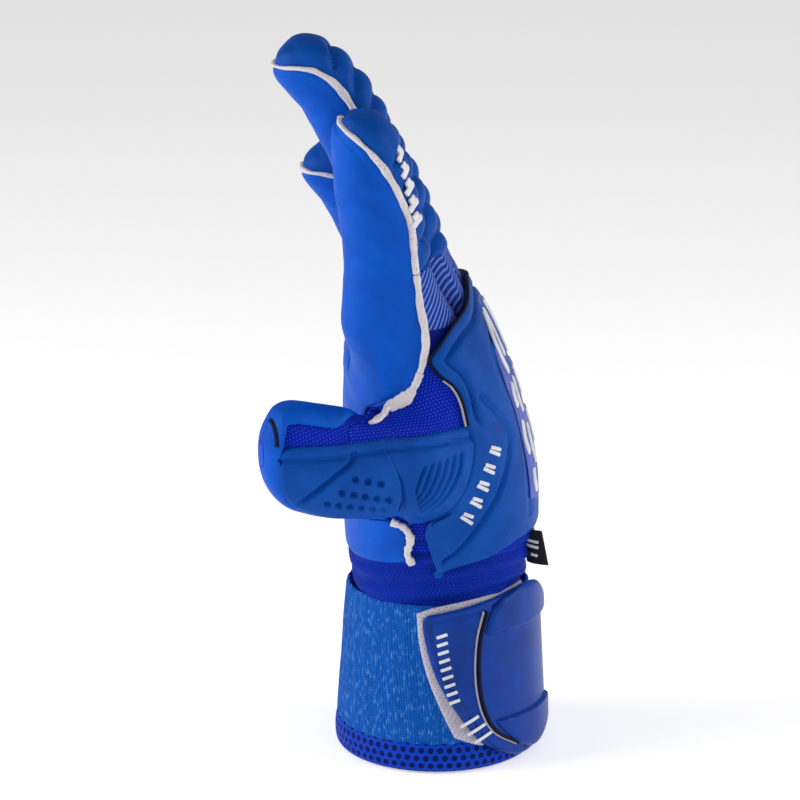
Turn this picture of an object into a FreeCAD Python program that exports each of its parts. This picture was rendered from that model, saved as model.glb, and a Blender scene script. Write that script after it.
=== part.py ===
import FreeCAD, Part
import math
import os

# Right-hand goalkeeper glove, standing on its cuff. Millimetres.
# Origin: centre of the hand opening, on the plane that the hem rests on.
# +Z points to the fingertips, -X is the palm side, -Y is the thumb side.

V = FreeCAD.Vector
ORIGIN = V(0, 0, 0)
X_AXIS = V(1, 0, 0)
Y_AXIS = V(0, 1, 0)
Z_AXIS = V(0, 0, 1)
FAR = 400.0                       # larger than the glove, for cutting boxes

# ---- driving dimensions ----
FOAM = 3.2                        # latex foam with its backing
SEAM_WIDTH = 2.6                  # raw latex edge between palm and back
JOINT_GAP = 0.7                   # clearance round every turning end

HEM_TOP = 11.5
HEM_WALL = 3.6
BAND_TOP = 62.0
BAND_WALL = 2.4
LINING_WALL = 1.2
LINING_TOP = 53.5
CUFF_CENTRE_X = (0.0, 0.6)        # at the hem and at the band's top
CUFF_HALF_X = (37.2, 34.4)
CUFF_HALF_Y = (40.4, 38.0)

WRIST_Z = 70.0                    # wrist hinge height
SLEEVE_RADIUS = 31.0              # the sleeve stays inside this circle
SLEEVE_WALL = 2.0
SLEEVE_Z = (54.0, 62.0, 70.0, 78.0, 84.0)
SLEEVE_HALF_Y = 35.6

# height, palm side x, back side x, half width of the hand
HAND_SECTIONS = (
    (81.0, -34.0, 36.6, 42.5),
    (95.0, -34.2, 37.6, 46.5),
    (110.0, -34.2, 36.6, 49.5),
    (127.0, -34.2, 32.4, 51.5),
    (144.0, -34.0, 27.2, 52.6),
    (159.0, -33.0, 21.4, 53.0),
)
HAND_POWER = 2.7                  # 2 is an ellipse, more is squarer
HEEL_TOP = 97.0
COVER_TOP = 148.0
PIPING = 1.6
SEAM_X = -2.8                     # where the palm latex ends on each side
PALM_TOP = 146.5
LITTLE_PALM_TOP = 135.0
LITTLE_SIDE_Y = 26.6

# name: knuckle hinge (x, z), middle hinge (x, z), tip (x, z), y at knuckle and
# tip, half thickness at knuckle, middle and near the tip, half width, curl
FINGERS = {
    "index": ((-9.5, 160.0), (-17.5, 203.0), (-28.0, 246.0), (-39.6, -40.3),
              (14.0, 13.8, 13.0), 12.4, 0.0),
    "middle": ((-5.0, 160.0), (-17.0, 206.0), (-50.0, 269.0), (-13.4, -13.6),
               (14.0, 13.8, 11.8), 12.5, 2.2),
    "ring": ((-5.5, 160.0), (-16.0, 200.5), (-42.0, 254.0), (13.1, 13.3),
             (13.6, 13.2, 11.6), 12.1, 1.5),
    "little": ((-10.0, 150.0), (-21.0, 184.0), (-40.5, 221.5), (38.6, 39.0),
               (12.4, 12.2, 11.0), 11.6, 0.5),
}
KNUCKLE_FLEX = 70.0               # degrees towards the palm
MIDDLE_FLEX = 75.0
SEAM_OFFSET = 7.0                 # seam behind the finger's centre line
SEAM_TIP_OFFSET = -9.0            # seam at the fingertip, on the palm side

THUMB_ROOT = (-4.0, -52.0)        # vertical hinge at the thumb's base
THUMB_TURN = 22.0                 # degrees from -X towards -Y
THUMB_Z = (124.0, 122.5)
THUMB_KNUCKLE = 31.0              # distance from the base to the thumb's joint
THUMB_LENGTH = 62.5
THUMB_THICK = (11.6, 11.4, 10.2)
THUMB_TALL = (20.0, 19.2, 15.5)
THUMB_SEAM = (1.5, -6.5)          # seam behind the centre line, joint and tip
THUMB_FLEX = 50.0
THUMB_HOLE_Z = (103.0, 145.0)
THUMB_HOLE_Y = -36.6

HOOK = (1.3, 2.18)                # layers of the strap, measured from the band
TAB = (2.24, 3.74)                # with a hair's gap between one and the next
FRAME = (3.8, 5.4)
PATCH = (0.1, 1.0)
STRAP_HINGE_Y = -0.6
ANCHOR_Y = (6.5, 26.0)


# ---- helpers ----
def oval_wire(centre, u_dir, v_dir, half_u, half_v, power=2.0, count=16):
    """Closed smooth curve of a superellipse in the plane of u_dir and v_dir."""
    points = []
    for i in range(count):
        turn = 2 * math.pi * i / count
        c, s = math.cos(turn), math.sin(turn)
        u = math.copysign(abs(c) ** (2 / power), c) * half_u
        v = math.copysign(abs(s) ** (2 / power), s) * half_v
        points.append(centre + u_dir * u + v_dir * v)
    curve = Part.BSplineCurve()
    curve.interpolate(points, PeriodicFlag=True)
    return Part.Wire([curve.toShape()])


def loft(wires):
    return Part.makeLoft(wires, True, False)


def prism(outline, direction, start, length):
    """Solid of a polygon outline, pushed along an axis from start."""
    points = [p + direction * start for p in outline]
    face = Part.Face(Part.makePolygon(points + points[:1]))
    return face.extrude(direction * length)


def box(low, high):
    return Part.makeBox(high[0] - low[0], high[1] - low[1], high[2] - low[2],
                        V(*low))


def solids_of(shape):
    """One shape of the closed solids worth keeping."""
    kept = [s for s in shape.Solids if s.Volume > 1.0]
    return kept[0] if len(kept) == 1 else Part.makeCompound(kept)


def save(name, shape, merge_faces=True):
    """Writes a piece; merge_faces joins faces that continue each other."""
    shape = solids_of(shape.removeSplitter() if merge_faces else shape)
    assert shape.isValid(), name
    shape.exportStep("parts/%s.step" % name)


# ---- cuff ----
def cuff_wire(z, grow):
    """The cuff's oval at a height, grown outwards by grow."""
    t = (z - HEM_TOP) / (BAND_TOP - HEM_TOP)
    mix = lambda pair: pair[0] + (pair[1] - pair[0]) * max(t, 0.0)
    centre = V(mix(CUFF_CENTRE_X), 0, z)
    return oval_wire(centre, X_AXIS, Y_AXIS, mix(CUFF_HALF_X) + grow,
                     mix(CUFF_HALF_Y) + grow)


def cuff_ring(low, high, inner, outer):
    """Ring round the cuff between two growths of its oval."""
    past = 1.0
    outside = loft([cuff_wire(low, outer), cuff_wire(high, outer)])
    inside = loft([cuff_wire(low - past, inner), cuff_wire(high + past, inner)])
    return outside.cut(inside)


def cuff_hem():
    return cuff_ring(0.0, HEM_TOP, 0.4 - HEM_WALL, 0.4)


def elastic_band():
    return cuff_ring(HEM_TOP, BAND_TOP, -BAND_WALL, 0.0)


def cuff_lining():
    outer = -BAND_WALL - 0.1
    return cuff_ring(HEM_TOP, LINING_TOP, outer - LINING_WALL, outer)


def wrist_sleeve():
    """Knitted sleeve whose sides stay inside the circle it turns in."""
    def wires(grow):
        rows = []
        for z in SLEEVE_Z:
            half_x = math.sqrt(SLEEVE_RADIUS ** 2 - (z - WRIST_Z) ** 2)
            rows.append(oval_wire(V(0, 0, z), X_AXIS, Y_AXIS, half_x + grow,
                                  SLEEVE_HALF_Y + grow))
        return rows

    outside = loft(wires(0.0))
    inside = loft(wires(-SLEEVE_WALL))
    ends = [Part.makeCylinder(20.0, 4.0, V(0, 0, z - 2.0))
            for z in (SLEEVE_Z[0], SLEEVE_Z[-1])]
    return outside.cut(inside.fuse(ends))


# ---- strap ----
def outline_xz(pairs):
    return [V(x, 0, z) for x, z in pairs]


TAB_OUTLINE = outline_xz([
    (-4.5, 60.5), (-3.5, 49), (0, 37), (6.5, 25), (15, 12), (21, 7.5),
    (60, 8.5), (60, 66), (30, 66), (12, 62)])
FRAME_OUTLINE = outline_xz([
    (15, 58.5), (13.5, 44), (18, 29), (26, 14), (33, 10), (60, 10), (60, 65),
    (24, 62)])
RECESS_OUTLINE = outline_xz([
    (26, 51), (24, 40), (27, 28), (32, 20), (60, 20), (60, 53)])
PIPING_OUTLINE = outline_xz([
    (14.6, 58.5), (13.1, 44), (17.6, 29), (25.6, 14), (31, 10.6), (29.6, 9.6),
    (24.2, 13.2), (16.2, 28.4), (11.6, 43.8), (13, 58.5)])


def strap_layer(outline, layer):
    """Piece of the ring round the band that lies inside an outline."""
    ring = cuff_ring(5.0, 68.0, layer[0], layer[1])
    reach = prism(outline, Y_AXIS, -FAR / 4, FAR / 4 + STRAP_HINGE_Y)
    return ring.common(reach)


def strap_tab():
    return strap_layer(TAB_OUTLINE, TAB)


def closure_frame():
    recess = prism(RECESS_OUTLINE, Y_AXIS, -FAR / 4, FAR / 2)
    return strap_layer(FRAME_OUTLINE, FRAME).cut(recess)


def closure_insert():
    return strap_layer(RECESS_OUTLINE, (FRAME[0], FRAME[0] + 0.6))


def tab_piping():
    return strap_layer(PIPING_OUTLINE, (FRAME[0], FRAME[0] + 1.0))


def hook_patch():
    patch = outline_xz([(0, 56), (3, 40), (9, 27), (18, 15), (27, 15),
                        (27, 56)])
    return strap_layer(patch, HOOK)


def landing_patch():
    """Loop patch that the strap's hooks land on, just outside the band."""
    ring = cuff_ring(14.0, 62.0, *PATCH)
    return ring.common(box((-8.0, -FAR / 4, 0), (28.0, 0, 70.0)))


def strap_anchor():
    """Fixed end of the strap, sewn to the back of the band."""
    ring = cuff_ring(14.0, 58.0, 0.1, 2.2)
    return ring.common(box((0, ANCHOR_Y[0], 0), (60.0, ANCHOR_Y[1], 70.0)))


# ---- hand ----
def hand_solid(grow, past=0.0):
    """The hand's full form, grown by grow and run past its ends by past."""
    rows = [list(s) for s in HAND_SECTIONS]
    if past:
        rows[0][0] -= past
        rows[-1][0] += past
    wires = []
    for z, palm, back, half_y in rows:
        centre = V((palm + back) / 2, 0, z)
        wires.append(oval_wire(centre, X_AXIS, Y_AXIS,
                               (back - palm) / 2 + grow, half_y + grow,
                               HAND_POWER, 24))
    return loft(wires)


def finger_keepouts():
    """Space that the finger roots turn through, taken out of the hand."""
    spaces = []
    for name, spec in FINGERS.items():
        hinge, y_mid, half_width = spec[0], spec[3][0], spec[5]
        radius = spec[4][0] + JOINT_GAP
        low_y = y_mid - half_width - JOINT_GAP
        spaces.append(Part.makeCylinder(
            radius, 2 * (half_width + JOINT_GAP),
            V(hinge[0], low_y, hinge[1]), Y_AXIS))
        top = LITTLE_PALM_TOP if name == "little" else PALM_TOP
        spaces.append(box((-60.0, low_y, top),
                          (hinge[0], low_y + 2 * (half_width + JOINT_GAP),
                           FAR / 2)))
    return spaces


def palm_top_cut():
    """Everything of the palm above the line where the fingers fold."""
    wide = box((-60.0, -FAR / 4, PALM_TOP), (-14.0, LITTLE_SIDE_Y, FAR / 2))
    little = box((-60.0, LITTLE_SIDE_Y - 0.6, LITTLE_PALM_TOP),
                 (-16.0, FAR / 4, FAR / 2))
    return [wide, little]


def thumb_keepout():
    """Opening in the hand's side that the thumb's root turns in."""
    low, high = THUMB_HOLE_Z
    root_x, root_y = THUMB_ROOT
    radius = THUMB_THICK[0] + JOINT_GAP
    barrel = Part.makeCylinder(radius, high - low, V(root_x, root_y, low))
    side = box((-60.0, -FAR / 4, low), (root_x, THUMB_HOLE_Y, high))
    outer = box((root_x - 1.0, -FAR / 4, low), (root_x + 9.0, root_y, high))
    return [barrel, side, outer]


def hand_shell(outer, inner):
    """Open shell of the hand between two growths, with its openings cut."""
    shell = hand_solid(outer).cut(hand_solid(inner, past=6.0))
    return shell.cut(finger_keepouts() + palm_top_cut() + thumb_keepout())


def knuckle_shelves():
    """Sloping knit from the back wall forward to the root of each finger."""
    form = hand_solid(0.0, past=6.0)
    edges_y = (-50.5, -26.6, 0.0, LITTLE_SIDE_Y - 0.3, 50.5)
    top = HAND_SECTIONS[-1][0]
    shelves = []
    for (low_y, high_y), spec in zip(zip(edges_y, edges_y[1:]), FINGERS.values()):
        front = spec[0][0] + spec[4][0] + 2 * JOINT_GAP
        outline = outline_xz([(40, top - FOAM), (40, top), (front + 6, top + 2),
                              (front, top + 2), (front, top - 1)])
        shelves.append(prism(outline, Y_AXIS, low_y, high_y - low_y))
    return shelves[0].fuse(shelves[1:]).common(form)


def hand_pieces():
    """The shell's panels: palm, heel, seams, cover, knuckle knit, gusset."""
    shell = hand_shell(0.0, -FOAM)
    edge = SEAM_X + SEAM_WIDTH
    low = HAND_SECTIONS[0][0]
    palm = shell.common(box((-60, -100, HEEL_TOP), (SEAM_X, 100, 200)))
    back = shell.common(box((edge, -100, 0), (60, 100, COVER_TOP)))
    knit = shell.common(box((edge, -100, COVER_TOP + PIPING), (60, 100, 200)))
    knit = knit.fuse(knuckle_shelves().cut(finger_keepouts()))
    gusset_box = box((-30, -100, THUMB_HOLE_Z[1] - 1), (edge, -37, 200))
    gusset = shell.common(gusset_box)
    return {
        "palm_latex": palm.cut(gusset_box),
        "palm_heel": shell.common(box((-60, -100, low), (SEAM_X, 100, HEEL_TOP))),
        "palm_seam": shell.common(box((SEAM_X, -100, 0), (edge, 100, 200))).cut(
            gusset_box),
        "backhand_cover": back,
        "cover_piping": shell.common(
            box((edge, -100, COVER_TOP), (60, 100, COVER_TOP + PIPING))),
        "knuckle_knit": knit,
        "thumb_gusset": gusset,
    }


def hand_lining():
    lining = hand_shell(-FOAM - 0.1, -FOAM - 1.1)
    return lining.common(box((-60, -100, 90.0), (60, 100, 140.0)))


def backhand_emblem():
    """Raised moulded pad on the middle of the back."""
    skin = hand_solid(1.6).cut(hand_solid(0.1, past=6.0))
    pads = [skin.common(box((10, y, 98.0), (60, y + 13.0, 134.0)))
            for y in (-22.0, -6.5, 9.0)]
    return pads[0].fuse(pads[1:])


def label_tag():
    """Folded label sewn into the cover's lower edge."""
    tag = box((36.4, -19.0, 76.8), (37.6, -6.0, 89.0))
    return tag.cut(hand_solid(0.1, past=6.0))


# ---- fingers and thumb ----
class Limb:
    """One straight or slightly curled length of finger or thumb.

    start and end are points of its centre line; side is the hinge direction;
    thick and wide are (start, end) half sizes across and along the hinge."""

    def __init__(self, start, end, side, thick, wide, curl=0.0, tip=False):
        self.start = start
        self.length = (end - start).Length
        self.along = (end - start).normalize()
        self.side = side
        self.back = side.cross(self.along).normalize()
        self.thick = thick
        self.wide = wide
        self.curl = curl
        self.tip = tip

    def place(self, s, n=0.0, y=0.0):
        """Point at a length s, a distance n to the back and y along the hinge."""
        return self.start + self.along * s + self.back * n + self.side * y

    def wire(self, s, grow, scale):
        t = min(max(s / self.length, 0.0), 1.0)
        half_n = (self.thick[0] + (self.thick[1] - self.thick[0]) * t)
        half_y = (self.wide[0] + (self.wide[1] - self.wide[0]) * t)
        centre = self.place(s, -self.curl * t * t)
        return oval_wire(centre, self.back * -1, self.side * -1,
                         (half_n + grow) * scale, (half_y + grow) * scale, 2.2)

    def body(self, grow):
        """Full solid; an end below the hinge, and a rounded tip if it has one."""
        below = self.thick[0] + 2.0
        top = self.length + (0.0 if self.tip else below)
        stations = [(-below, 1.0), (0.0, 1.0)]
        if self.tip:
            round_off = self.thick[1] + 1.0
            end = top + min(grow, 0.0) * 1.3
            start = end - round_off
            stations.append((start * 0.5, 1.0))
            for part in (0.0, 0.45, 0.75, 0.93):
                stations.append((start + part * round_off,
                                 math.sqrt(1.0 - part * part)))
        else:
            stations.append((top * 0.5, 1.0))
            stations.append((top, 1.0))
        return loft([self.wire(s, grow, k) for s, k in stations])

    def slab(self, low_s, high_s, low_n, high_n):
        """Box in the limb's own directions, wide along the hinge."""
        corners = [self.place(s, n, -FAR / 4) for s, n in (
            (low_s, low_n), (high_s, low_n), (high_s, high_n), (low_s, high_n))]
        face = Part.Face(Part.makePolygon(corners + corners[:1]))
        return face.extrude(self.side * (FAR / 2))

    def barrel(self, s, radius):
        """Cylinder along the hinge at a length s."""
        return Part.makeCylinder(radius, FAR / 2, self.place(s, 0, -FAR / 4),
                                 self.side)

    def shell(self, wall):
        """Hollow length with its lower end rounded about its own hinge."""
        keep = self.slab(0.0, FAR / 2, -60, 60).fuse(
            self.barrel(0.0, self.thick[0]))
        return self.body(0.0).cut(self.body(-wall)).common(keep)

    def open_top(self, shell, upper, flex):
        """Cut the far end back so that the next length can fold forward."""
        bend = math.degrees(self.along.getAngle(upper.along))
        next_radius = upper.thick[0]
        fold = next_radius * math.tan(math.radians((flex + bend) / 2)) + JOINT_GAP
        front = self.slab(self.length - fold, FAR / 2, -60, 0.0)
        back = self.slab(self.length, FAR / 2, -60, 60)
        barrel = self.barrel(self.length, next_radius + JOINT_GAP)
        return shell.cut([front, back, barrel])

    def seam_band(self, n_start, n_end, low, high):
        """Slab that follows the seam, from low to high beside its line."""
        ends = ((-40.0, n_start), (0.0, n_start), (self.length, n_end))
        pairs = [(s, n + low) for s, n in ends]
        pairs += [(s, n + high) for s, n in reversed(ends)]
        corners = [self.place(s, n, -FAR / 4) for s, n in pairs]
        face = Part.Face(Part.makePolygon(corners + corners[:1]))
        return face.extrude(self.side * (FAR / 2))

    def panels(self, shell, n_start, n_end):
        """Palm foam, seam strips and back pad of a shell."""
        half = SEAM_WIDTH / 2
        return (shell.common(self.seam_band(n_start, n_end, -90.0, -half)),
                shell.common(self.seam_band(n_start, n_end, -half, half)),
                shell.common(self.seam_band(n_start, n_end, half, 90.0)))


def save_panels(name, panels):
    for panel, part in zip(panels, ("palm", "seam", "back")):
        save("%s_%s" % (name, part), panel, merge_faces=False)


def finger(name, spec):
    hinge, middle, tip, y_ends, thick, half_width, curl = spec
    y_low, y_high = y_ends
    y_middle = (y_low + y_high) / 2
    lower = Limb(V(hinge[0], y_low, hinge[1]), V(middle[0], y_middle, middle[1]),
                 Y_AXIS, thick[:2], (half_width, half_width))
    upper = Limb(V(middle[0], y_middle, middle[1]), V(tip[0], y_high, tip[1]),
                 Y_AXIS, thick[1:], (half_width, half_width - 1.2), curl, True)
    lower_shell = lower.open_top(lower.shell(FOAM), upper, MIDDLE_FLEX)
    save_panels(name + "_proximal",
                lower.panels(lower_shell, SEAM_OFFSET, SEAM_OFFSET))
    save_panels(name + "_distal",
                upper.panels(upper.shell(FOAM), SEAM_OFFSET, SEAM_TIP_OFFSET))


def thumb():
    turn = math.radians(THUMB_TURN)
    root = V(THUMB_ROOT[0], THUMB_ROOT[1], THUMB_Z[0])
    ahead = V(-math.cos(turn), -math.sin(turn), 0)
    down = V(0, 0, -1)
    knuckle = root + ahead * THUMB_KNUCKLE
    tip = root + ahead * THUMB_LENGTH + down * (THUMB_Z[0] - THUMB_Z[1])
    lower = Limb(root, knuckle, Z_AXIS, THUMB_THICK[:2], THUMB_TALL[:2])
    upper = Limb(knuckle, tip, Z_AXIS, THUMB_THICK[1:], THUMB_TALL[1:], 0.0, True)
    lower_shell = lower.open_top(lower.shell(FOAM), upper, THUMB_FLEX)
    save_panels("thumb_proximal", lower.panels(lower_shell, *THUMB_SEAM[:1] * 2))
    save_panels("thumb_distal", upper.panels(upper.shell(FOAM), *THUMB_SEAM))


# ---- write every piece ----
PIECES = {
    "cuff_hem": cuff_hem,
    "elastic_band": elastic_band,
    "cuff_lining": cuff_lining,
    "wrist_sleeve": wrist_sleeve,
    "landing_patch": landing_patch,
    "strap_anchor": strap_anchor,
    "strap_tab": strap_tab,
    "closure_frame": closure_frame,
    "closure_insert": closure_insert,
    "tab_piping": tab_piping,
    "hook_patch": hook_patch,
    "hand_lining": hand_lining,
    "backhand_emblem": backhand_emblem,
    "label_tag": label_tag,
}

os.makedirs("parts", exist_ok=True)
for piece_name, make in PIECES.items():
    save(piece_name, make())
for piece_name, shape in hand_pieces().items():
    save(piece_name, shape)
for finger_name, finger_spec in FINGERS.items():
    finger(finger_name, finger_spec)
thumb()
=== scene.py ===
"""Right-hand goalkeeper's glove: latex panels, knit, mesh and strap around the frame."""

import logging
import math
from dataclasses import dataclass
from enum import Enum
from typing import Callable, Dict, List, Optional, Sequence, Tuple

import bpy
import numpy as np
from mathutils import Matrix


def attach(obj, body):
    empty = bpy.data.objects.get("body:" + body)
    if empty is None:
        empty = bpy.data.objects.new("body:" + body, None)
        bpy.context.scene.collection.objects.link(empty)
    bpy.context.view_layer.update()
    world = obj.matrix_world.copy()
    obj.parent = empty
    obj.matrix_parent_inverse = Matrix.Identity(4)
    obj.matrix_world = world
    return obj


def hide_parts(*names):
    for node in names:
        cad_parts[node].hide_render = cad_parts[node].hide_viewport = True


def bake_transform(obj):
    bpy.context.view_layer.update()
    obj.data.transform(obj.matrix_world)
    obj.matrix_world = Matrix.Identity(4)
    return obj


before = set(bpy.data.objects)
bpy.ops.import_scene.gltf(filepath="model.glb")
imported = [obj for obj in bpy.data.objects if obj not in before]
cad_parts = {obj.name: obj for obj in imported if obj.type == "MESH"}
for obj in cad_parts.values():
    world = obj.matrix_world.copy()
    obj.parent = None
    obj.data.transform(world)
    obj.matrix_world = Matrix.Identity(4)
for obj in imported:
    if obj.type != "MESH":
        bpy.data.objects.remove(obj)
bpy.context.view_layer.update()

logging.basicConfig(level=logging.INFO, format="%(message)s")
LOG = logging.getLogger("glove")

MM = 0.001
TURN = 2.0 * math.pi
UV_UNIT = 100.0                    # one unit of a piece's UV map, in millimetres
SMOOTH_ANGLE = math.radians(38.0)  # sharper edges than this stay sharp
FILLET = 10.0                      # softness of the corner between hand and thumb
EDGE_TURN = 0.02                   # small step of angle for finding a normal
PUFF_PITCH = 10.4                  # from one groove of a finger's back to the next
PUFF_DEPTH = 2.7
DIMPLE_DEPTH = 1.7
Array = np.ndarray
Rows = Sequence[Sequence[float]]
HeightFn = Callable[["Patch"], Array]


# ------------------------------------------------------------------ numbers
def ramp(value: Array, low: float, high: float) -> Array:
    """Smooth step from 0 at low to 1 at high.

    Args:
        value: where it is read.
        low: end that gives 0.
        high: end that gives 1.
    Returns:
        The step's value.
    """
    t = np.clip((value - low) / (high - low), 0.0, 1.0)
    return t * t * (3.0 - 2.0 * t)


def table(rows: Rows, at: Array) -> Array:
    """Columns of a table read at new places along its first column, smoothly.

    Args:
        rows: rows of a place and its values, in order of place.
        at: places to read, of any shape.
    Returns:
        The values, with one more axis for the columns.
    """
    data = np.array(rows, float)
    place, values = data[:, 0], data[:, 1:]
    slope = np.gradient(values, place, axis=0)
    at = np.asarray(at, float)
    i = np.clip(np.searchsorted(place, at) - 1, 0, len(place) - 2)
    step = (place[i + 1] - place[i])[..., None]
    t = np.clip((at - place[i])[..., None] / step, 0.0, 1.0)
    t2, t3 = t * t, t * t * t
    return ((2 * t3 - 3 * t2 + 1) * values[i] + (t3 - 2 * t2 + t) * step * slope[i]
            + (3 * t2 - 2 * t3) * values[i + 1] + (t3 - t2) * step * slope[i + 1])


def curve(points: Rows, count: int) -> Array:
    """Evenly spaced points on a smooth line through the given ones.

    Args:
        points: the points that shape the line.
        count: how many points to return.
    Returns:
        The points, count by their number of coordinates.
    """
    pts = np.array(points, float)
    knots = np.arange(len(pts), dtype=float)
    dense = table(np.column_stack([knots, pts]), np.linspace(0, len(pts) - 1, 400))
    run = np.concatenate([[0.0], np.cumsum(
        np.linalg.norm(np.diff(dense, axis=0), axis=1))])
    even = np.linspace(0.0, run[-1], count)
    return np.column_stack([np.interp(even, run, dense[:, k])
                            for k in range(pts.shape[1])])


def stops(length: float, step: float, low: bool = True, high: bool = True) -> Array:
    """Places from 0 to 1 along a side, closer together at an end that rolls over.

    Args:
        length: the side's length, in millimetres.
        step: the usual spacing, in millimetres.
        low: whether the start rolls over.
        high: whether the end rolls over.
    Returns:
        The places, in order.
    """
    near = np.array([0.12, 0.4, 0.8, 1.3, 1.9, 2.6])
    first = near[-1] if low else 0.0
    last = near[-1] if high else 0.0
    inside = np.linspace(first, length - last,
                         max(int(round((length - first - last) / step)), 1) + 1)
    parts = [inside]
    if low:
        parts = [[0.0], near[:-1]] + parts
    if high:
        parts = parts + [length - near[:-1][::-1], [length]]
    return np.concatenate(parts) / length


def ripple(place: Array, seed: float) -> Array:
    """Slow uneven variation between -1 and 1, the same on every run.

    Args:
        place: where it is read, in millimetres.
        seed: number that makes one variation differ from another.
    Returns:
        The variation.
    """
    return (np.sin(place * 0.21 + seed) + np.sin(place * 0.47 + 2.3 * seed)
            + np.sin(place * 0.93 + 5.1 * seed)) / 3.0


def norm_radius(cos_u: Array, sin_u: Array, half_a: Array, half_b: Array,
                power: float) -> Array:
    """Distance from the middle of a rounded oval to its edge.

    Args:
        cos_u: direction's share along the first half size.
        sin_u: direction's share along the second half size.
        half_a: first half size.
        half_b: second half size.
        power: 2 for an ellipse, more for a squarer oval.
    Returns:
        The distance.
    """
    total = (np.abs(cos_u) / half_a) ** power + (np.abs(sin_u) / half_b) ** power
    return total ** (-1.0 / power)


# ------------------------------------------------------------------- forms
@dataclass(frozen=True)
class HandForm:
    """The hand's outer form. An angle of 0 faces the palm side, 90 degrees the thumb
    side and 180 the back; heights are in millimetres."""

    rows: Rows = (                 # height, palm side x, back side x, half width
        (54.0, -30.5, 31.5, 35.5), (66.0, -31.8, 33.6, 37.6),
        (76.0, -33.4, 36.2, 41.3), (84.0, -34.2, 37.5, 43.6),
        (95.0, -34.5, 37.8, 46.6), (110.0, -34.6, 36.8, 49.6),
        (127.0, -34.6, 32.6, 51.6), (144.0, -34.2, 27.2, 52.6),
        (159.0, -34.2, 21.2, 53.0), (172.0, -34.2, 14.4, 53.0),
        (186.0, -34.0, 7.4, 53.0), (200.0, -33.6, 1.6, 53.0))
    power: float = 2.6

    def section(self, z: Array) -> Tuple[Array, Array, Array]:
        """Centre x, half depth and half width at a height."""
        palm, back, half_y = np.moveaxis(table(self.rows, z), -1, 0)
        return (palm + back) / 2, (back - palm) / 2, half_y

    def point(self, angle: Array, z: Array) -> Array:
        """Point of the form at an angle and a height."""
        centre, half_x, half_y = self.section(z)
        c, s = np.cos(angle), np.sin(angle)
        r = norm_radius(c, s, half_x, half_y, self.power)
        return np.stack([centre - r * c, -r * s, z + 0.0 * r], -1)

    def angle_at(self, x: Array, z: Array) -> Array:
        """Angle on the thumb side at which the form has that x."""
        x, z = np.broadcast_arrays(np.asarray(x, float), np.asarray(z, float))
        grid = np.linspace(0.0, math.pi, 721)
        out = np.empty(x.shape)
        for i in np.ndindex(x.shape):
            line = self.point(grid, np.full(grid.shape, z[i]))[:, 0]
            out[i] = np.interp(x[i], line, grid)
        return out

    def gap(self, p: Array) -> Array:
        """Distance outside the form, roughly, at each point."""
        centre, half_x, half_y = self.section(p[..., 2])
        dx, dy = p[..., 0] - centre, p[..., 1]
        r = np.hypot(dx, dy) + 1e-9
        return r - norm_radius(dx / r, dy / r, half_x, half_y, self.power)

    def reach(self, origin: Array, direction: Array, z: Array) -> Array:
        """Distance from inside points along flat directions to the form.

        Args:
            origin: x and y of the inside points.
            direction: unit x and y of the directions.
            z: heights.
        Returns:
            The distances.
        """
        low = np.zeros(z.shape)
        high = np.full(z.shape, 140.0)
        for _ in range(34):
            mid = (low + high) / 2
            p = np.stack([origin[..., 0] + mid * direction[..., 0],
                          origin[..., 1] + mid * direction[..., 1], z], -1)
            inside = self.gap(p) < 0
            low, high = np.where(inside, mid, low), np.where(inside, high, mid)
        return low


HAND = HandForm()


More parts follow.
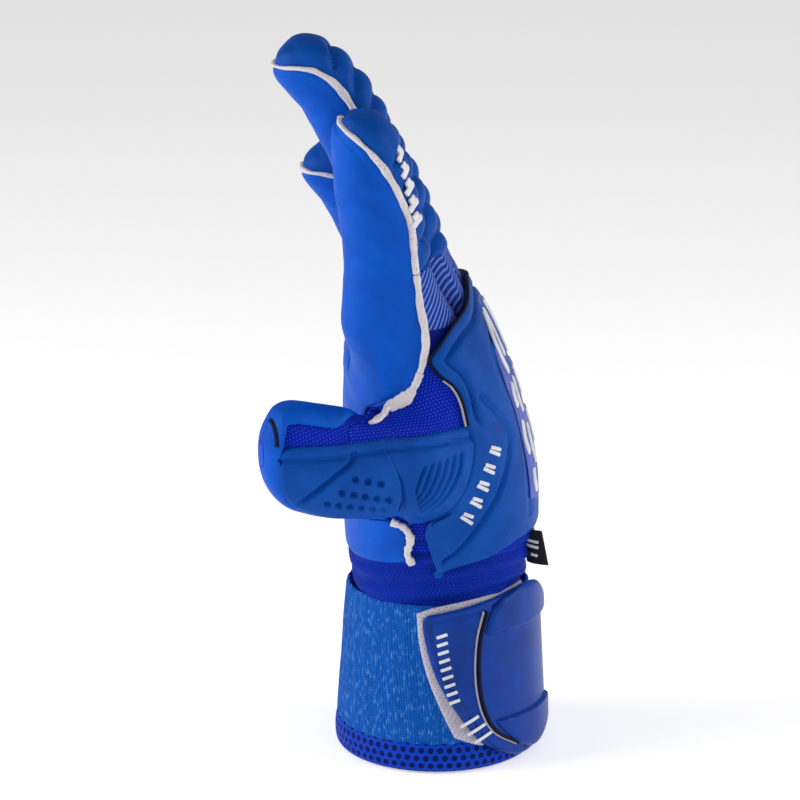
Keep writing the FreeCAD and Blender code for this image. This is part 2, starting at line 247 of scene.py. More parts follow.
@dataclass(frozen=True)
class FingerForm:
    """One finger's outer form, from the knuckle line to its tip. An angle of 0 faces
    the palm side, 90 degrees the thumb side and 180 the back."""

    name: str
    path: Rows                     # x and z of the centre line, the last is the tip
    y: float
    half_y: float
    slab: Tuple[float, float]      # y limits below the web
    thick: Rows                    # share of the length, thickness to the palm and back
    power: float = 2.25
    cap: float = 12.5              # length of the rounded tip

    def line(self) -> Array:
        """Even points of the centre line, and their distance from its start."""
        pts = curve(self.path, 200)
        run = np.concatenate([[0.0], np.cumsum(
            np.linalg.norm(np.diff(pts, axis=0), axis=1))])
        return np.column_stack([run, pts])

    @property
    def length(self) -> float:
        """Length of the centre line."""
        return float(self.line()[-1, 0])

    def run_at_height(self, z: float) -> float:
        """Distance along the centre line at which it reaches a height."""
        line = self.line()
        return float(np.interp(z, line[:, 2], line[:, 0]))

    def frame_at(self, s: Array) -> Tuple[Array, Array, Array, Array]:
        """Centre x and z, and the tilt's cosine and sine, at distances s."""
        line = self.line()
        x = np.interp(s, line[:, 0], line[:, 1])
        z = np.interp(s, line[:, 0], line[:, 2])
        ahead = np.interp(s + 4.0, line[:, 0], line[:, 1])
        behind = np.interp(s - 4.0, line[:, 0], line[:, 1])
        ahead_z = np.interp(s + 4.0, line[:, 0], line[:, 2])
        behind_z = np.interp(s - 4.0, line[:, 0], line[:, 2])
        tilt = np.arctan2(behind - ahead, ahead_z - behind_z) * ramp(s, 2.0, 26.0)
        return x, z, np.cos(tilt), np.sin(tilt)

    def point(self, angle: Array, s: Array) -> Array:
        """Point of the form at an angle and a distance along the finger."""
        angle, s = np.broadcast_arrays(angle, s)
        x, z, cos_t, sin_t = self.frame_at(s)
        c, si = np.cos(angle), np.sin(angle)
        halves = table(self.thick, s / self.length)
        half_n = np.where(c > 0, halves[..., 0], halves[..., 1])
        over = np.clip((s - (self.length - self.cap)) / self.cap, 0.0, 1.0)
        blunt = 2.2 + 2.2 * np.clip(c, 0.0, 1.0)
        round_off = np.maximum(1.0 - over ** blunt, 0.0) ** (1.0 / blunt)
        own = norm_radius(c, si, half_n, self.half_y, self.power) * round_off
        origin = np.stack([x, np.full(x.shape, self.y)], -1)
        flat = np.stack([-c, -si], -1)
        root = self.root_radius(origin, flat, z)
        share = ramp(s, 3.0, 27.0 + 19.0 * np.clip(-c, 0, 1))
        r = root * (1 - share) + own * share
        return np.stack([x - r * c * cos_t, self.y - r * si, z - r * c * sin_t], -1)

    def root_radius(self, origin: Array, flat: Array, z: Array) -> Array:
        """Radius below the web, where the finger fills its part of the hand."""
        hand = HAND.reach(origin, flat, z)
        low, high = self.slab
        side = np.where(flat[..., 1] < 0, self.y - low, high - self.y)
        wall = side / np.maximum(np.abs(flat[..., 1]), 1e-3)
        return (hand ** -9.0 + wall ** -9.0) ** (-1.0 / 9.0)


@dataclass(frozen=True)
class ThumbForm:
    """The thumb's outer form. An angle of 0 faces the fingers, 90 degrees up, 180 the
    back of the thumb; distances run from its base to its tip."""

    root: Tuple[float, float] = (-4.0, -52.0)
    turn: float = math.radians(22.0)
    rows: Rows = (                 # distance, middle height, half thickness, half height
        (-12.0, 121.6, 6.5, 15.0), (0.0, 122.2, 11.3, 19.2),
        (14.0, 122.9, 11.8, 19.3), (28.0, 124.0, 11.7, 19.5), (40.0, 126.1, 11.7, 20.0),
        (50.0, 128.8, 11.3, 19.4), (62.0, 131.2, 10.4, 16.8))
    length: float = 62.0
    cap: float = 13.0
    power: float = 2.3

    @property
    def ahead(self) -> Array:
        """Direction from the base to the tip."""
        return np.array([-math.cos(self.turn), -math.sin(self.turn)])

    @property
    def out(self) -> Array:
        """Direction out of the thumb's back."""
        return np.array([math.sin(self.turn), -math.cos(self.turn)])

    def sizes(self, s: Array) -> Tuple[Array, Array, Array]:
        """Middle height and half sizes at distances s, with the tip rounded off."""
        height, half_n, half_h = np.moveaxis(table(self.rows, s), -1, 0)
        over = np.clip((s - (self.length - self.cap)) / self.cap, 0.0, 1.0)
        round_off = np.maximum(1.0 - over ** 2.4, 1e-6) ** (1 / 2.4)
        return height, half_n * round_off, half_h * round_off

    def point(self, angle: Array, s: Array) -> Array:
        """Point of the form at an angle and a distance along the thumb."""
        angle, s = np.broadcast_arrays(angle, s)
        height, half_n, half_h = self.sizes(s)
        c, si = np.cos(angle), np.sin(angle)
        r = norm_radius(c, si, half_n, half_h, self.power)
        flat = (np.array(self.root) + s[..., None] * self.ahead
                - (r * c)[..., None] * self.out)
        return np.concatenate([flat, (height + r * si)[..., None]], -1)

    def gap(self, p: Array) -> Array:
        """Distance outside the form, roughly, at each point."""
        offset = p[..., :2] - np.array(self.root)
        s = offset @ self.ahead
        n = offset @ self.out
        height, half_n, half_h = self.sizes(np.clip(s, -12.0, self.length - 0.02))
        h = p[..., 2] - height
        r = np.hypot(n, h) + 1e-9
        beyond = np.maximum(s - self.length, 0.0) + np.maximum(-12.0 - s, 0.0)
        return r - norm_radius(n / r, h / r, half_n, half_h, self.power) + beyond


THUMB = ThumbForm()


def joint_gap(p: Array) -> Array:
    """Distance outside the hand and thumb joined by a soft fillet."""
    a, b = HAND.gap(p), THUMB.gap(p)
    h = np.clip(0.5 + 0.5 * (b - a) / FILLET, 0.0, 1.0)
    return b + (a - b) * h - FILLET * h * (1.0 - h)


def side_on(x: Array, z: Array) -> Array:
    """Point of the joined form seen straight from the thumb side at x and z."""
    x, z = np.broadcast_arrays(np.asarray(x, float), np.asarray(z, float))
    scan = np.linspace(-112.0, 0.0, 57)
    shape = x.shape + scan.shape
    p = np.stack([np.broadcast_to(x[..., None], shape), np.broadcast_to(scan, shape),
                  np.broadcast_to(z[..., None], shape)], -1)
    inside = joint_gap(p) < 0
    first = np.where(inside.any(-1), inside.argmax(-1), 56)
    high = scan[first]
    low = scan[np.maximum(first - 1, 0)]
    for _ in range(18):
        mid = (low + high) / 2
        within = joint_gap(np.stack([x, mid, z], -1)) < 0
        low, high = np.where(within, low, mid), np.where(within, mid, high)
    return np.stack([x, high, z], -1)


def settle(p: Array) -> Array:
    """Points of the hand's thumb side moved straight out onto the joined form."""
    near = (p[..., 1] < 0) & (p[..., 0] < 27.0) & (p[..., 0] > -31.0)
    moved = p.copy()
    spots = side_on(p[..., 0][near], p[..., 2][near])
    share = ramp(spots[:, 0], -31.0, -21.0) * (1.0 - ramp(spots[:, 0], 22.0, 27.0))
    moved[near, 1] += share * np.minimum(spots[:, 1] - p[near][:, 1], 0.0)
    return moved


def soften(base: Array, rounds: int = 6) -> Array:
    """A grid of points evened out inside its borders."""
    base = base.copy()
    for _ in range(rounds):
        near = (base[:-2, 1:-1] + base[2:, 1:-1] + base[1:-1, :-2] + base[1:-1, 2:]) / 4
        base[1:-1, 1:-1, 1] = (base[1:-1, 1:-1, 1] + near[..., 1]) / 2
    return base


@dataclass(frozen=True)
class CuffForm:
    """The cuff's oval, wider at the hem. Angles run as on the hand."""

    rows: Rows = (                 # height, centre x, half x, half y
        (-1.0, 0.0, 37.2, 40.4), (11.5, 0.0, 37.2, 40.4), (35.0, 0.3, 35.9, 39.2),
        (62.0, 0.6, 34.4, 38.0), (70.0, 0.8, 34.0, 37.8))

    def point(self, angle: Array, z: Array) -> Array:
        """Point of the cuff at an angle and a height."""
        centre, half_x, half_y = np.moveaxis(table(self.rows, z), -1, 0)
        c, s = np.cos(angle), np.sin(angle)
        r = norm_radius(c, s, half_x, half_y, 2.0)
        return np.stack([centre - r * c, -r * s, z + 0.0 * r], -1)

    def angle_at(self, x: Array, z: Array) -> Array:
        """Angle on the thumb side at which the cuff has that x."""
        centre, half_x, half_y = np.moveaxis(table(self.rows, np.asarray(z, float)), -1, 0)
        share = np.clip((np.asarray(x, float) - centre) / half_x, -1.0, 1.0)
        return np.arctan2(half_y * np.sqrt(1 - share ** 2), -half_x * share)


CUFF = CuffForm()


# ------------------------------------------------------------------ patches
@dataclass
class Patch:
    """A sheet laid on a form, as rows of points, with distances to its four sides."""

    base: Array
    places: Array
    closed: bool = False

    def __post_init__(self) -> None:
        """Measures the sheet along its rows and columns."""
        across = np.linalg.norm(np.diff(self.base, axis=1), axis=-1)
        along = np.linalg.norm(np.diff(self.base, axis=0), axis=-1)
        zero_u = np.zeros((self.base.shape[0], 1))
        zero_v = np.zeros((1, self.base.shape[1]))
        self.left = np.concatenate([zero_u, np.cumsum(across, 1)], 1)
        self.right = self.left[:, -1:] - self.left
        self.low = np.concatenate([zero_v, np.cumsum(along, 0)], 0)
        self.high = self.low[-1:] - self.low
        self.normal = self.find_normals(self.base)

    def find_normals(self, points: Array) -> Array:
        """Unit normals of a grid of points, out of the form."""
        if self.closed:
            wide = np.concatenate([points[:, -2:-1], points, points[:, 1:2]], 1)
            du = (wide[:, 2:] - wide[:, :-2])
        else:
            du = np.gradient(points, axis=1)
        dv = np.gradient(points, axis=0)
        n = np.cross(du, dv)
        size = np.linalg.norm(n, axis=-1, keepdims=True)
        n = n / np.maximum(size, 1e-9)
        for row, inner in ((0, 1), (-1, -2)):
            if size[row].max() < 1e-3:
                mean = n[inner].mean(0)
                n[row] = mean / max(float(np.linalg.norm(mean)), 1e-9)
        return n

    @property
    def x(self) -> Array:
        """The points' x."""
        return self.base[..., 0]

    @property
    def z(self) -> Array:
        """The points' height."""
        return self.base[..., 2]

    def raised(self, height: Array) -> Array:
        """The grid with each point moved out by a height."""
        return self.base + self.normal * height[..., None]


def rolled(distance: Array, drop: float, radius: float) -> Array:
    """Height lost at an edge that rolls over, 0 beyond its radius.

    Args:
        distance: distance to the edge.
        drop: height lost at the edge.
        radius: how far in the roll reaches.
    Returns:
        A height, zero or less.
    """
    t = 1.0 - np.clip(distance / radius, 0.0, 1.0)
    return -drop * (1.0 - np.sqrt(np.maximum(1.0 - t ** 2, 0.0)))


def groove(p: Array, q: Array, line: Rows, width: float, depth: float) -> Array:
    """Height lost in a pressed groove that follows a line.

    Args:
        p: first coordinate of the points.
        q: second coordinate of the points.
        line: points that shape the line.
        width: the groove's half width.
        depth: how deep it is.
    Returns:
        A height, zero or less.
    """
    away = distance_to(p, q, line)
    return -depth * np.exp(-(away / width) ** 2)


def distance_to(p: Array, q: Array, line: Rows) -> Array:
    """Distance from points to a smooth line in the plane."""
    pts = curve(line, 60)
    best = np.full(p.shape, 1e9)
    for a, b in zip(pts[:-1], pts[1:]):
        d = b - a
        t = np.clip(((p - a[0]) * d[0] + (q - a[1]) * d[1]) / max(d @ d, 1e-9), 0, 1)
        best = np.minimum(best, np.hypot(p - a[0] - t * d[0], q - a[1] - t * d[1]))
    return best


def coons(low: Array, high: Array, left: Array, right: Array, us: Array,
          vs: Array) -> Array:
    """Places of a sheet whose four sides are lines that meet at its corners.

    Args:
        low: the side at the sheet's start, from left to right.
        high: the side at its end, from left to right.
        left: the left side, from low to high.
        right: the right side, from low to high.
        us: places across, from 0 to 1.
        vs: places along, from 0 to 1.
    Returns:
        The grid of places, along by across by 2.
    """
    def read(side: Array, t: Array) -> Array:
        pts = curve(side, 300)
        return np.column_stack([np.interp(t, np.linspace(0, 1, 300), pts[:, k])
                                for k in range(2)])

    lo, hi, le, ri = read(low, us), read(high, us), read(left, vs), read(right, vs)
    u, v = us[None, :, None], vs[:, None, None]
    corner = ((1 - u) * (1 - v) * lo[0] + u * (1 - v) * lo[-1]
              + (1 - u) * v * hi[0] + u * v * hi[-1])
    return ((1 - v) * lo[None] + v * hi[None] + (1 - u) * le[:, None]
            + u * ri[:, None] - corner)


# Weights that make an angle and a distance alike in size, on each form.
ON_HAND = np.array([1.0, 1 / 60.0])
ON_CUFF = np.array([36.0, 1.0])
ON_THUMB = np.array([12.0, 1.0])


def spread(weights: Array, sides: Sequence[Rows], size: Tuple[float, float],
           step: Tuple[float, float]) -> Array:
    """Places of a sheet whose four sides are given by angle and distance.

    Args:
        weights: make the two kinds of place alike in size.
        sides: the low, high, left and right side.
        size: about how wide and how tall it is, in millimetres.
        step: the spacing across and along, in millimetres.
    Returns:
        The grid of places.
    """
    low, high, left, right = (np.array(side) * weights for side in sides)
    return coons(low, high, left, right, stops(size[0], step[0]),
                 stops(size[1], step[1])) / weights


def even_places(points: Rows, count: int, weights: Array = ON_HAND) -> Array:
    """Evenly spaced places on a smooth line given by angle and distance."""
    return curve(np.array(points) * weights, count) / weights


# ---------------------------------------------------------------- mesh work
def select_only(obj: bpy.types.Object) -> None:
    """Makes one object the only selected one, and active."""
    bpy.ops.object.select_all(action="DESELECT")
    obj.select_set(True)
    bpy.context.view_layer.objects.active = obj


def mesh_grid(name: str, points: Array, uv: Array) -> bpy.types.Object:
    """A grid primitive shaped to rows of points, points that coincide merged.

    Args:
        name: the object's name.
        points: rows by columns of points, in millimetres.
        uv: rows by columns of flat positions, in millimetres.
    Returns:
        The object, with its mesh in metres.
    """
    rows, cols = points.shape[:2]
    bpy.ops.object.select_all(action="DESELECT")
    bpy.ops.mesh.primitive_grid_add(x_subdivisions=cols - 1, y_subdivisions=rows - 1,
                                    size=1.0)
    obj = bpy.context.active_object
    obj.name = name
    obj.data.name = name
    mesh = obj.data
    co = np.empty(len(mesh.vertices) * 3)
    mesh.vertices.foreach_get("co", co)
    co = co.reshape(-1, 3)
    j = np.rint((co[:, 0] + 0.5) * (cols - 1)).astype(int)
    i = np.rint((co[:, 1] + 0.5) * (rows - 1)).astype(int)
    mesh.vertices.foreach_set("co", (points[i, j] * MM).ravel())
    corner = np.empty(len(mesh.loops), int)
    mesh.loops.foreach_get("vertex_index", corner)
    flat = uv[i, j][corner] / UV_UNIT
    mesh.uv_layers.active.data.foreach_set("uv", flat.ravel())
    mesh.update()
    bpy.ops.object.mode_set(mode="EDIT")
    bpy.ops.mesh.select_all(action="SELECT")
    bpy.ops.mesh.remove_doubles(threshold=2e-6)
    bpy.ops.object.mode_set(mode="OBJECT")
    return obj


def finish_mesh(obj: bpy.types.Object, thickness: float,
                look: "Finish") -> bpy.types.Object:
    """Gives a sheet its thickness, shading and finish.

    Args:
        obj: the sheet.
        thickness: thickness inwards in millimetres, or 0 for a closed mesh.
        look: the finish to dress it in.
    Returns:
        The same object.
    """
    select_only(obj)
    if thickness:
        wall = obj.modifiers.new("wall", "SOLIDIFY")
        wall.thickness = thickness * MM
        wall.offset = -1.0
        bpy.ops.object.modifier_apply(modifier="wall")
    bpy.ops.object.mode_set(mode="EDIT")
    bpy.ops.mesh.select_all(action="SELECT")
    bpy.ops.mesh.dissolve_degenerate(threshold=1e-7)
    bpy.ops.mesh.select_all(action="SELECT")
    bpy.ops.mesh.normals_make_consistent(inside=False)
    bpy.ops.object.mode_set(mode="OBJECT")
    bpy.ops.object.shade_smooth_by_angle(angle=SMOOTH_ANGLE)
    obj.data.materials.clear()
    obj.data.materials.append(look.material())
    return obj


def lay(name: str, surface: Callable[[Array, Array], Array], places: Array,
        height: HeightFn, look: "Finish", thickness: float = 1.6,
        closed: bool = False, joined: bool = False) -> bpy.types.Object:
    """A panel laid on a form.

    Args:
        name: the piece's name.
        surface: gives points from two places.
        places: grid of the two places.
        height: gives the height above the form from the patch.
        look: the panel's finish.
        thickness: its thickness inwards.
        closed: whether its columns go all the way round.
        joined: whether it lies on the hand and thumb joined by a fillet.
    Returns:
        The panel.
    """
    base = surface(places[..., 0], places[..., 1])
    if joined:
        base = soften(settle(base))
    patch = Patch(base, places, closed)
    middle = patch.left - patch.left[:, patch.left.shape[1] // 2][:, None]
    uv = np.stack([middle, patch.low], -1)
    obj = mesh_grid(name, patch.raised(height(patch)), uv)
    return finish_mesh(obj, thickness, look)


def strip(name: str, path: Array, normal: Array, wide: Array, tall: float,
          look: "Finish", around: int = 12) -> bpy.types.Object:
    """A narrow band with rounded edges that follows a path on a form.

    Args:
        name: the piece's name.
        path: points of the path.
        normal: directions out of the form.
        wide: half width at each point.
        tall: half height.
        look: the band's finish.
        around: how many points go round it.
    Returns:
        The band, closed at both ends.
    """
    run = np.gradient(path, axis=0)
    run /= np.linalg.norm(run, axis=1, keepdims=True)
    side = np.cross(normal, run)
    side /= np.linalg.norm(side, axis=1, keepdims=True)
    up = np.cross(run, side)
    turn = np.linspace(0.0, TURN, around + 1)
    c = np.sign(np.cos(turn)) * np.abs(np.cos(turn)) ** 0.7
    s = np.sign(np.sin(turn)) * np.abs(np.sin(turn)) ** 0.7
    path = np.concatenate([path[:1], path, path[-1:]])
    side = np.concatenate([side[:1], side, side[-1:]])
    up = np.concatenate([up[:1], up, up[-1:]])
    wide = np.concatenate([wide[:1], wide, wide[-1:]])
    ends = np.concatenate([[1e-4], [0.85], np.ones(len(path) - 4), [0.85], [1e-4]])
    rows = (path[:, None]
            + side[:, None] * (c[None, :, None] * (wide * ends)[:, None, None])
            + up[:, None] * (s[None, :, None] * (tall * ends)[:, None, None]))
    length = np.concatenate([[0.0], np.cumsum(
        np.linalg.norm(np.diff(path, axis=0), axis=1))])
    uv = np.stack(np.broadcast_arrays((turn / TURN * 8.0)[None, :], length[:, None]), -1)
    obj = mesh_grid(name, rows, uv)
    return finish_mesh(obj, 0.0, look)


# ---------------------------------------------------------------- materials
def linear(hexa: str) -> Tuple[float, float, float, float]:
    """A colour given as sRGB hex, in linear light."""
    out = []
    for i in (1, 3, 5):
        v = int(hexa[i:i + 2], 16) / 255.0
        out.append(v / 12.92 if v <= 0.04045 else ((v + 0.055) / 1.055) ** 2.4)
    return (out[0], out[1], out[2], 1.0)


class Weave(Enum):
    """Surface patterns, each drawn in the piece's own flat millimetres."""

    FOAM = "fine-pored cut foam"
    RAW = "torn open foam"
    HOLES = "open cells in offset rows"
    DOTS = "small pale stitches in offset rows"
    RIBS = "upright elastic ribs with pale flecks"
    TWILL = "diagonal cords"
    KNIT = "fine knitted loops"
    LINES = "knit with slanted printed lines"
    PILE = "brushed loops with dark pin holes"
    SATIN = "smooth moulded skin"


@dataclass(frozen=True)
class Finish:
    """One real material and how it is drawn."""

    name: str
    colour: str
    second: str
    rough: float
    weave: Weave
    pitch: float = 1.0             # millimetres from one thread or cell to the next
    relief: float = 0.1            # millimetres of surface relief
    sheen: float = 0.0
    coat: float = 0.0

    def material(self) -> bpy.types.Material:
        """The finish as a material, made once."""
        found = bpy.data.materials.get(self.name)
        return found or self.make()

    def make(self) -> bpy.types.Material:
        """Builds the nodes of this finish."""
        mat = bpy.data.materials.new(self.name)
        mat.use_nodes = True
        tree = mat.node_tree
        shader = tree.nodes["Principled BSDF"]
        shader.inputs["Roughness"].default_value = self.rough
        shader.inputs["IOR"].default_value = 1.45
        shader.inputs["Specular IOR Level"].default_value = 0.1
        shader.inputs["Sheen Weight"].default_value = self.sheen
        shader.inputs["Sheen Roughness"].default_value = 0.4
        shader.inputs["Sheen Tint"].default_value = linear(self.second)
        shader.inputs["Coat Weight"].default_value = self.coat
        shader.inputs["Coat Roughness"].default_value = 0.35
        draw = Drawing(tree)
        mask, relief = draw.pattern(self)
        tone = draw.tone(self, mask)
        tree.links.new(tone, shader.inputs["Base Color"])
        bump = draw.add("ShaderNodeBump", Strength=1.0, Distance=self.relief * MM,
                        Height=relief)
        tree.links.new(bump.outputs["Normal"], shader.inputs["Normal"])
        mat.diffuse_color = linear(self.colour)
        return mat


class Drawing:
    """Adds the nodes of one material."""

    def __init__(self, tree: bpy.types.NodeTree) -> None:
        """Starts in a material's tree."""
        self.tree = tree

    def add(self, kind: str, settings: Optional[Dict[str, object]] = None,
            **inputs: object) -> bpy.types.Node:
        """Adds a node with its settings, and values or links on its inputs."""
        made = self.tree.nodes.new(kind)
        for key, value in (settings or {}).items():
            setattr(made, key, value)
        for key, value in inputs.items():
            socket = (made.inputs[int(key[1:])] if key[0] == "i" and key[1:].isdigit()
                      else made.inputs[key.replace("_", " ")])
            if isinstance(value, bpy.types.NodeSocket):
                self.tree.links.new(value, socket)
            else:
                socket.default_value = value
        return made

    def math(self, operation: str, a: object, b: object = 0.0,
             c: object = 0.0) -> bpy.types.NodeSocket:
        """One arithmetic step."""
        return self.add("ShaderNodeMath", {"operation": operation}, i0=a, i1=b,
                        i2=c).outputs[0]

    def flat(self) -> Tuple[bpy.types.NodeSocket, bpy.types.NodeSocket,
                            bpy.types.NodeSocket]:
        """The piece's flat position in millimetres, as a vector and its parts."""
        uv = self.add("ShaderNodeUVMap")
        scaled = self.add("ShaderNodeVectorMath", {"operation": "SCALE"},
                          i0=uv.outputs[0], Scale=UV_UNIT)
        parts = self.add("ShaderNodeSeparateXYZ", i0=scaled.outputs[0])
        return scaled.outputs[0], parts.outputs[0], parts.outputs[1]

    def noise(self, size: float, detail: float = 3.0,
              flat: Optional[bpy.types.NodeSocket] = None) -> bpy.types.NodeSocket:
        """Noise whose blobs are about size millimetres across."""
        if flat is None:
            spot = self.add("ShaderNodeTexCoord").outputs["Object"]
            scale = 1.0 / (size * MM)
        else:
            spot, scale = flat, 1.0 / size
        return self.add("ShaderNodeTexNoise", Vector=spot, Scale=scale,
                        Detail=detail).outputs["Fac"]

    def wave(self, place: object, pitch: float) -> bpy.types.NodeSocket:
        """Even wave from 0 to 1 along a place."""
        turned = self.math("MULTIPLY", place, TURN / pitch)
        return self.math("MULTIPLY_ADD", self.math("SINE", turned), 0.5, 0.5)

    def lattice(self, flat: bpy.types.NodeSocket, pitch: float) -> bpy.types.NodeSocket:
        """Distance to the nearest spot of offset rows, in pitches."""
        size = (pitch, pitch * 1.732, 1.0)
        reach = []
        for shift in (0.0, 0.5):
            moved = self.add("ShaderNodeVectorMath", {"operation": "DIVIDE"}, i0=flat,
                             i1=size).outputs[0]
            moved = self.add("ShaderNodeVectorMath", {"operation": "ADD"}, i0=moved,
                             i1=(shift, shift, 0.0)).outputs[0]
            cell = self.add("ShaderNodeVectorMath", {"operation": "FRACTION"},
                            i0=moved).outputs[0]
            cell = self.add("ShaderNodeVectorMath", {"operation": "SUBTRACT"}, i0=cell,
                            i1=(0.5, 0.5, 0.0)).outputs[0]
            cell = self.add("ShaderNodeVectorMath", {"operation": "MULTIPLY"}, i0=cell,
                            i1=(1.0, 1.732, 0.0)).outputs[0]
            reach.append(self.add("ShaderNodeVectorMath", {"operation": "LENGTH"},
                                  i0=cell).outputs["Value"])
        return self.math("MINIMUM", reach[0], reach[1])

    def fade(self, value: object, low: float, high: float) -> bpy.types.NodeSocket:
        """0 at low, 1 at high, smooth between."""
        return self.add("ShaderNodeMapRange", {"interpolation_type": "SMOOTHSTEP"},
                        Value=value, From_Min=low, From_Max=high).outputs[0]

    def pattern(self, look: Finish) -> Tuple[bpy.types.NodeSocket,
                                             bpy.types.NodeSocket]:
        """Where the second colour shows, and the relief, of a finish."""
        flat, u, v = self.flat()
        pitch = look.pitch
        if look.weave in (Weave.FOAM, Weave.SATIN):
            broad = self.noise(14.0, 2.0)
            fine = self.noise(pitch, 4.0)
            pores = self.fade(fine, 0.35, 0.62)
            return self.fade(broad, 0.35, 0.75), pores
        if look.weave is Weave.RAW:
            torn = self.noise(pitch, 6.0)
            return self.fade(torn, 0.42, 0.30), torn
        if look.weave is Weave.HOLES:
            cell = self.lattice(flat, pitch)
            wall = self.fade(cell, 0.24, 0.34)
            return self.math("SUBTRACT", 1.0, wall), wall
        if look.weave is Weave.DOTS:
            cell = self.lattice(flat, pitch)
            dot = self.fade(cell, 0.26, 0.12)
            wave = self.wave(self.math("ADD", u, v), 0.7)
            return dot, self.math("ADD", dot, self.math("MULTIPLY", wave, 0.3))
        if look.weave is Weave.RIBS:
            rib = self.wave(u, pitch)
            pick = self.wave(v, pitch * 0.62)
            uneven = self.noise(2.4, 4.0, self.add(
                "ShaderNodeVectorMath", {"operation": "MULTIPLY"}, i0=flat,
                i1=(1.6, 0.75, 1.0)).outputs[0])
            fleck = self.math("MULTIPLY", self.fade(uneven, 0.50, 0.66),
                              self.math("MULTIPLY", rib, pick))
            return fleck, self.math("ADD", rib, self.math("MULTIPLY", pick, 0.6))
        if look.weave is Weave.TWILL:
            cord = self.wave(self.math("MULTIPLY_ADD", v, 0.8, u), pitch)
            return self.math("SUBTRACT", 1.0, cord), cord
        if look.weave is Weave.KNIT:
            sway = self.math("MULTIPLY", self.math("SINE", self.math(
                "MULTIPLY", u, TURN / pitch)), pitch * 0.35)
            loops = self.wave(self.math("ADD", v, sway), pitch * 0.8)
            column = self.wave(u, pitch)
            return self.fade(loops, 0.7, 1.0), self.math("ADD", loops, column)
        if look.weave is Weave.LINES:
            slant = self.math("ADD", v, self.math("ABSOLUTE", u))
            line = self.fade(self.wave(slant, pitch), 0.55, 0.72)
            knit = self.wave(self.math("ADD", u, v), 0.9)
            return line, self.math("ADD", line, self.math("MULTIPLY", knit, 0.4))
        cell = self.lattice(flat, pitch)
        pin = self.fade(cell, 0.22, 0.08)
        furry = self.noise(0.8, 4.0, flat)
        return self.math("MULTIPLY", pin, 0.8), furry

    def tone(self, look: Finish, mask: bpy.types.NodeSocket) -> bpy.types.NodeSocket:
        """The finish's colour, with its second colour and slight unevenness."""
        mix = self.add("ShaderNodeMix", {"data_type": "RGBA"}, i0=mask,
                       i6=linear(look.colour), i7=linear(look.second))
        uneven = self.fade(self.noise(5.0, 3.0), 0.2, 0.8)
        level = self.math("MULTIPLY_ADD", uneven, 0.14, 0.93)
        hue = self.add("ShaderNodeHueSaturation", Value=level, Color=mix.outputs[2])
        return hue.outputs[0]


# Cut latex foam of the palm side, fine-pored and matt.
LATEX = Finish("cut latex foam", "#0050BA", "#0046AA", 0.5, Weave.FOAM, 0.5, 0.05, 0.04)
# Latex foam pressed into shape on the back.
BACK_FOAM = Finish("embossed latex foam", "#00479E", "#003E90", 0.46, Weave.FOAM, 0.6,
                   0.05, 0.04)
# The pale inside of the foam, seen at its cut edges.
EDGE = Finish("raw latex edge", "#CFC9CC", "#9B95A2", 0.85, Weave.RAW, 0.7, 0.25)
# Stretch knit between the foam panels of a finger.
LINER = Finish("dark finger gusset knit", "#021A86", "#010D58", 0.7, Weave.KNIT, 1.1,
               0.12, 0.05)
# Breathable polyester mesh of the web and the sides.
AIR_MESH = Finish("air mesh", "#001CA8", "#2458D6", 0.6, Weave.DOTS, 1.5, 0.25, 0.05)
# Knit with printed slanting stripes at the knuckles.
PRINTED = Finish("printed knit", "#042F90", "#5F79C2", 0.6, Weave.LINES, 2.0, 0.15, 0.05)
# Thick open-celled mesh of the cuff's hem.
SPACER = Finish("spacer mesh", "#0038AC", "#020C50", 0.6, Weave.HOLES, 3.4, 0.8, 0.05)
# Ribbed elastic webbing of the wrist band.
ELASTIC = Finish("woven elastic", "#0052AC", "#6FA6DE", 0.7, Weave.RIBS, 1.1, 0.25, 0.05)
# Soft knit of the sleeve between hand and cuff.
SLEEVE = Finish("stretch knit", "#001D96", "#0440BE", 0.65, Weave.KNIT, 1.6, 0.3, 0.05)
# The loop half of the hook-and-loop closure.
LOOP = Finish("brushed loop patch", "#B3AEBB", "#6E6A78", 0.9, Weave.PILE, 1.7, 0.3, 0.3)
# Satin rubber skin of the strap.
MOULDED = Finish("moulded strap skin", "#003690", "#002C7C", 0.36, Weave.SATIN, 0.5,
                 0.02, 0.0, 0.15)
# Woven twill set into the strap's frame.
TWILL_CLOTH = Finish("diagonal twill", "#002084", "#020C4C", 0.6, Weave.TWILL, 1.3, 0.2,
                     0.2)
# Black cloth folded round the edges.
PIPING = Finish("folded piping", "#05070F", "#121734", 0.55, Weave.TWILL, 0.9, 0.1)
# Light thread that runs beside the piping.
PIPING_LIGHT = Finish("pale piping thread", "#C9C0C4", "#8F8A98", 0.6, Weave.TWILL, 0.8,
                      0.1)
# White silicone print that stands up from the foam.
PRINT = Finish("raised transfer print", "#D8D8DC", "#C6C6CE", 0.5, Weave.SATIN, 0.6, 0.02)
# Tinted panel printed on the back.
VIOLET = Finish("printed back panel", "#4A57A8", "#5A67B4", 0.5, Weave.SATIN, 0.6, 0.03)
# Black woven label.
LABEL = Finish("folded woven label", "#101116", "#2A2C34", 0.6, Weave.TWILL, 0.7, 0.1)


# ------------------------------------------------------------- assemblies
@dataclass(frozen=True)
class Bend:
    """Where a soft piece turns from one body to the next."""

    first: str
    second: str
    start: Tuple[float, float, float]
    end: Tuple[float, float, float]


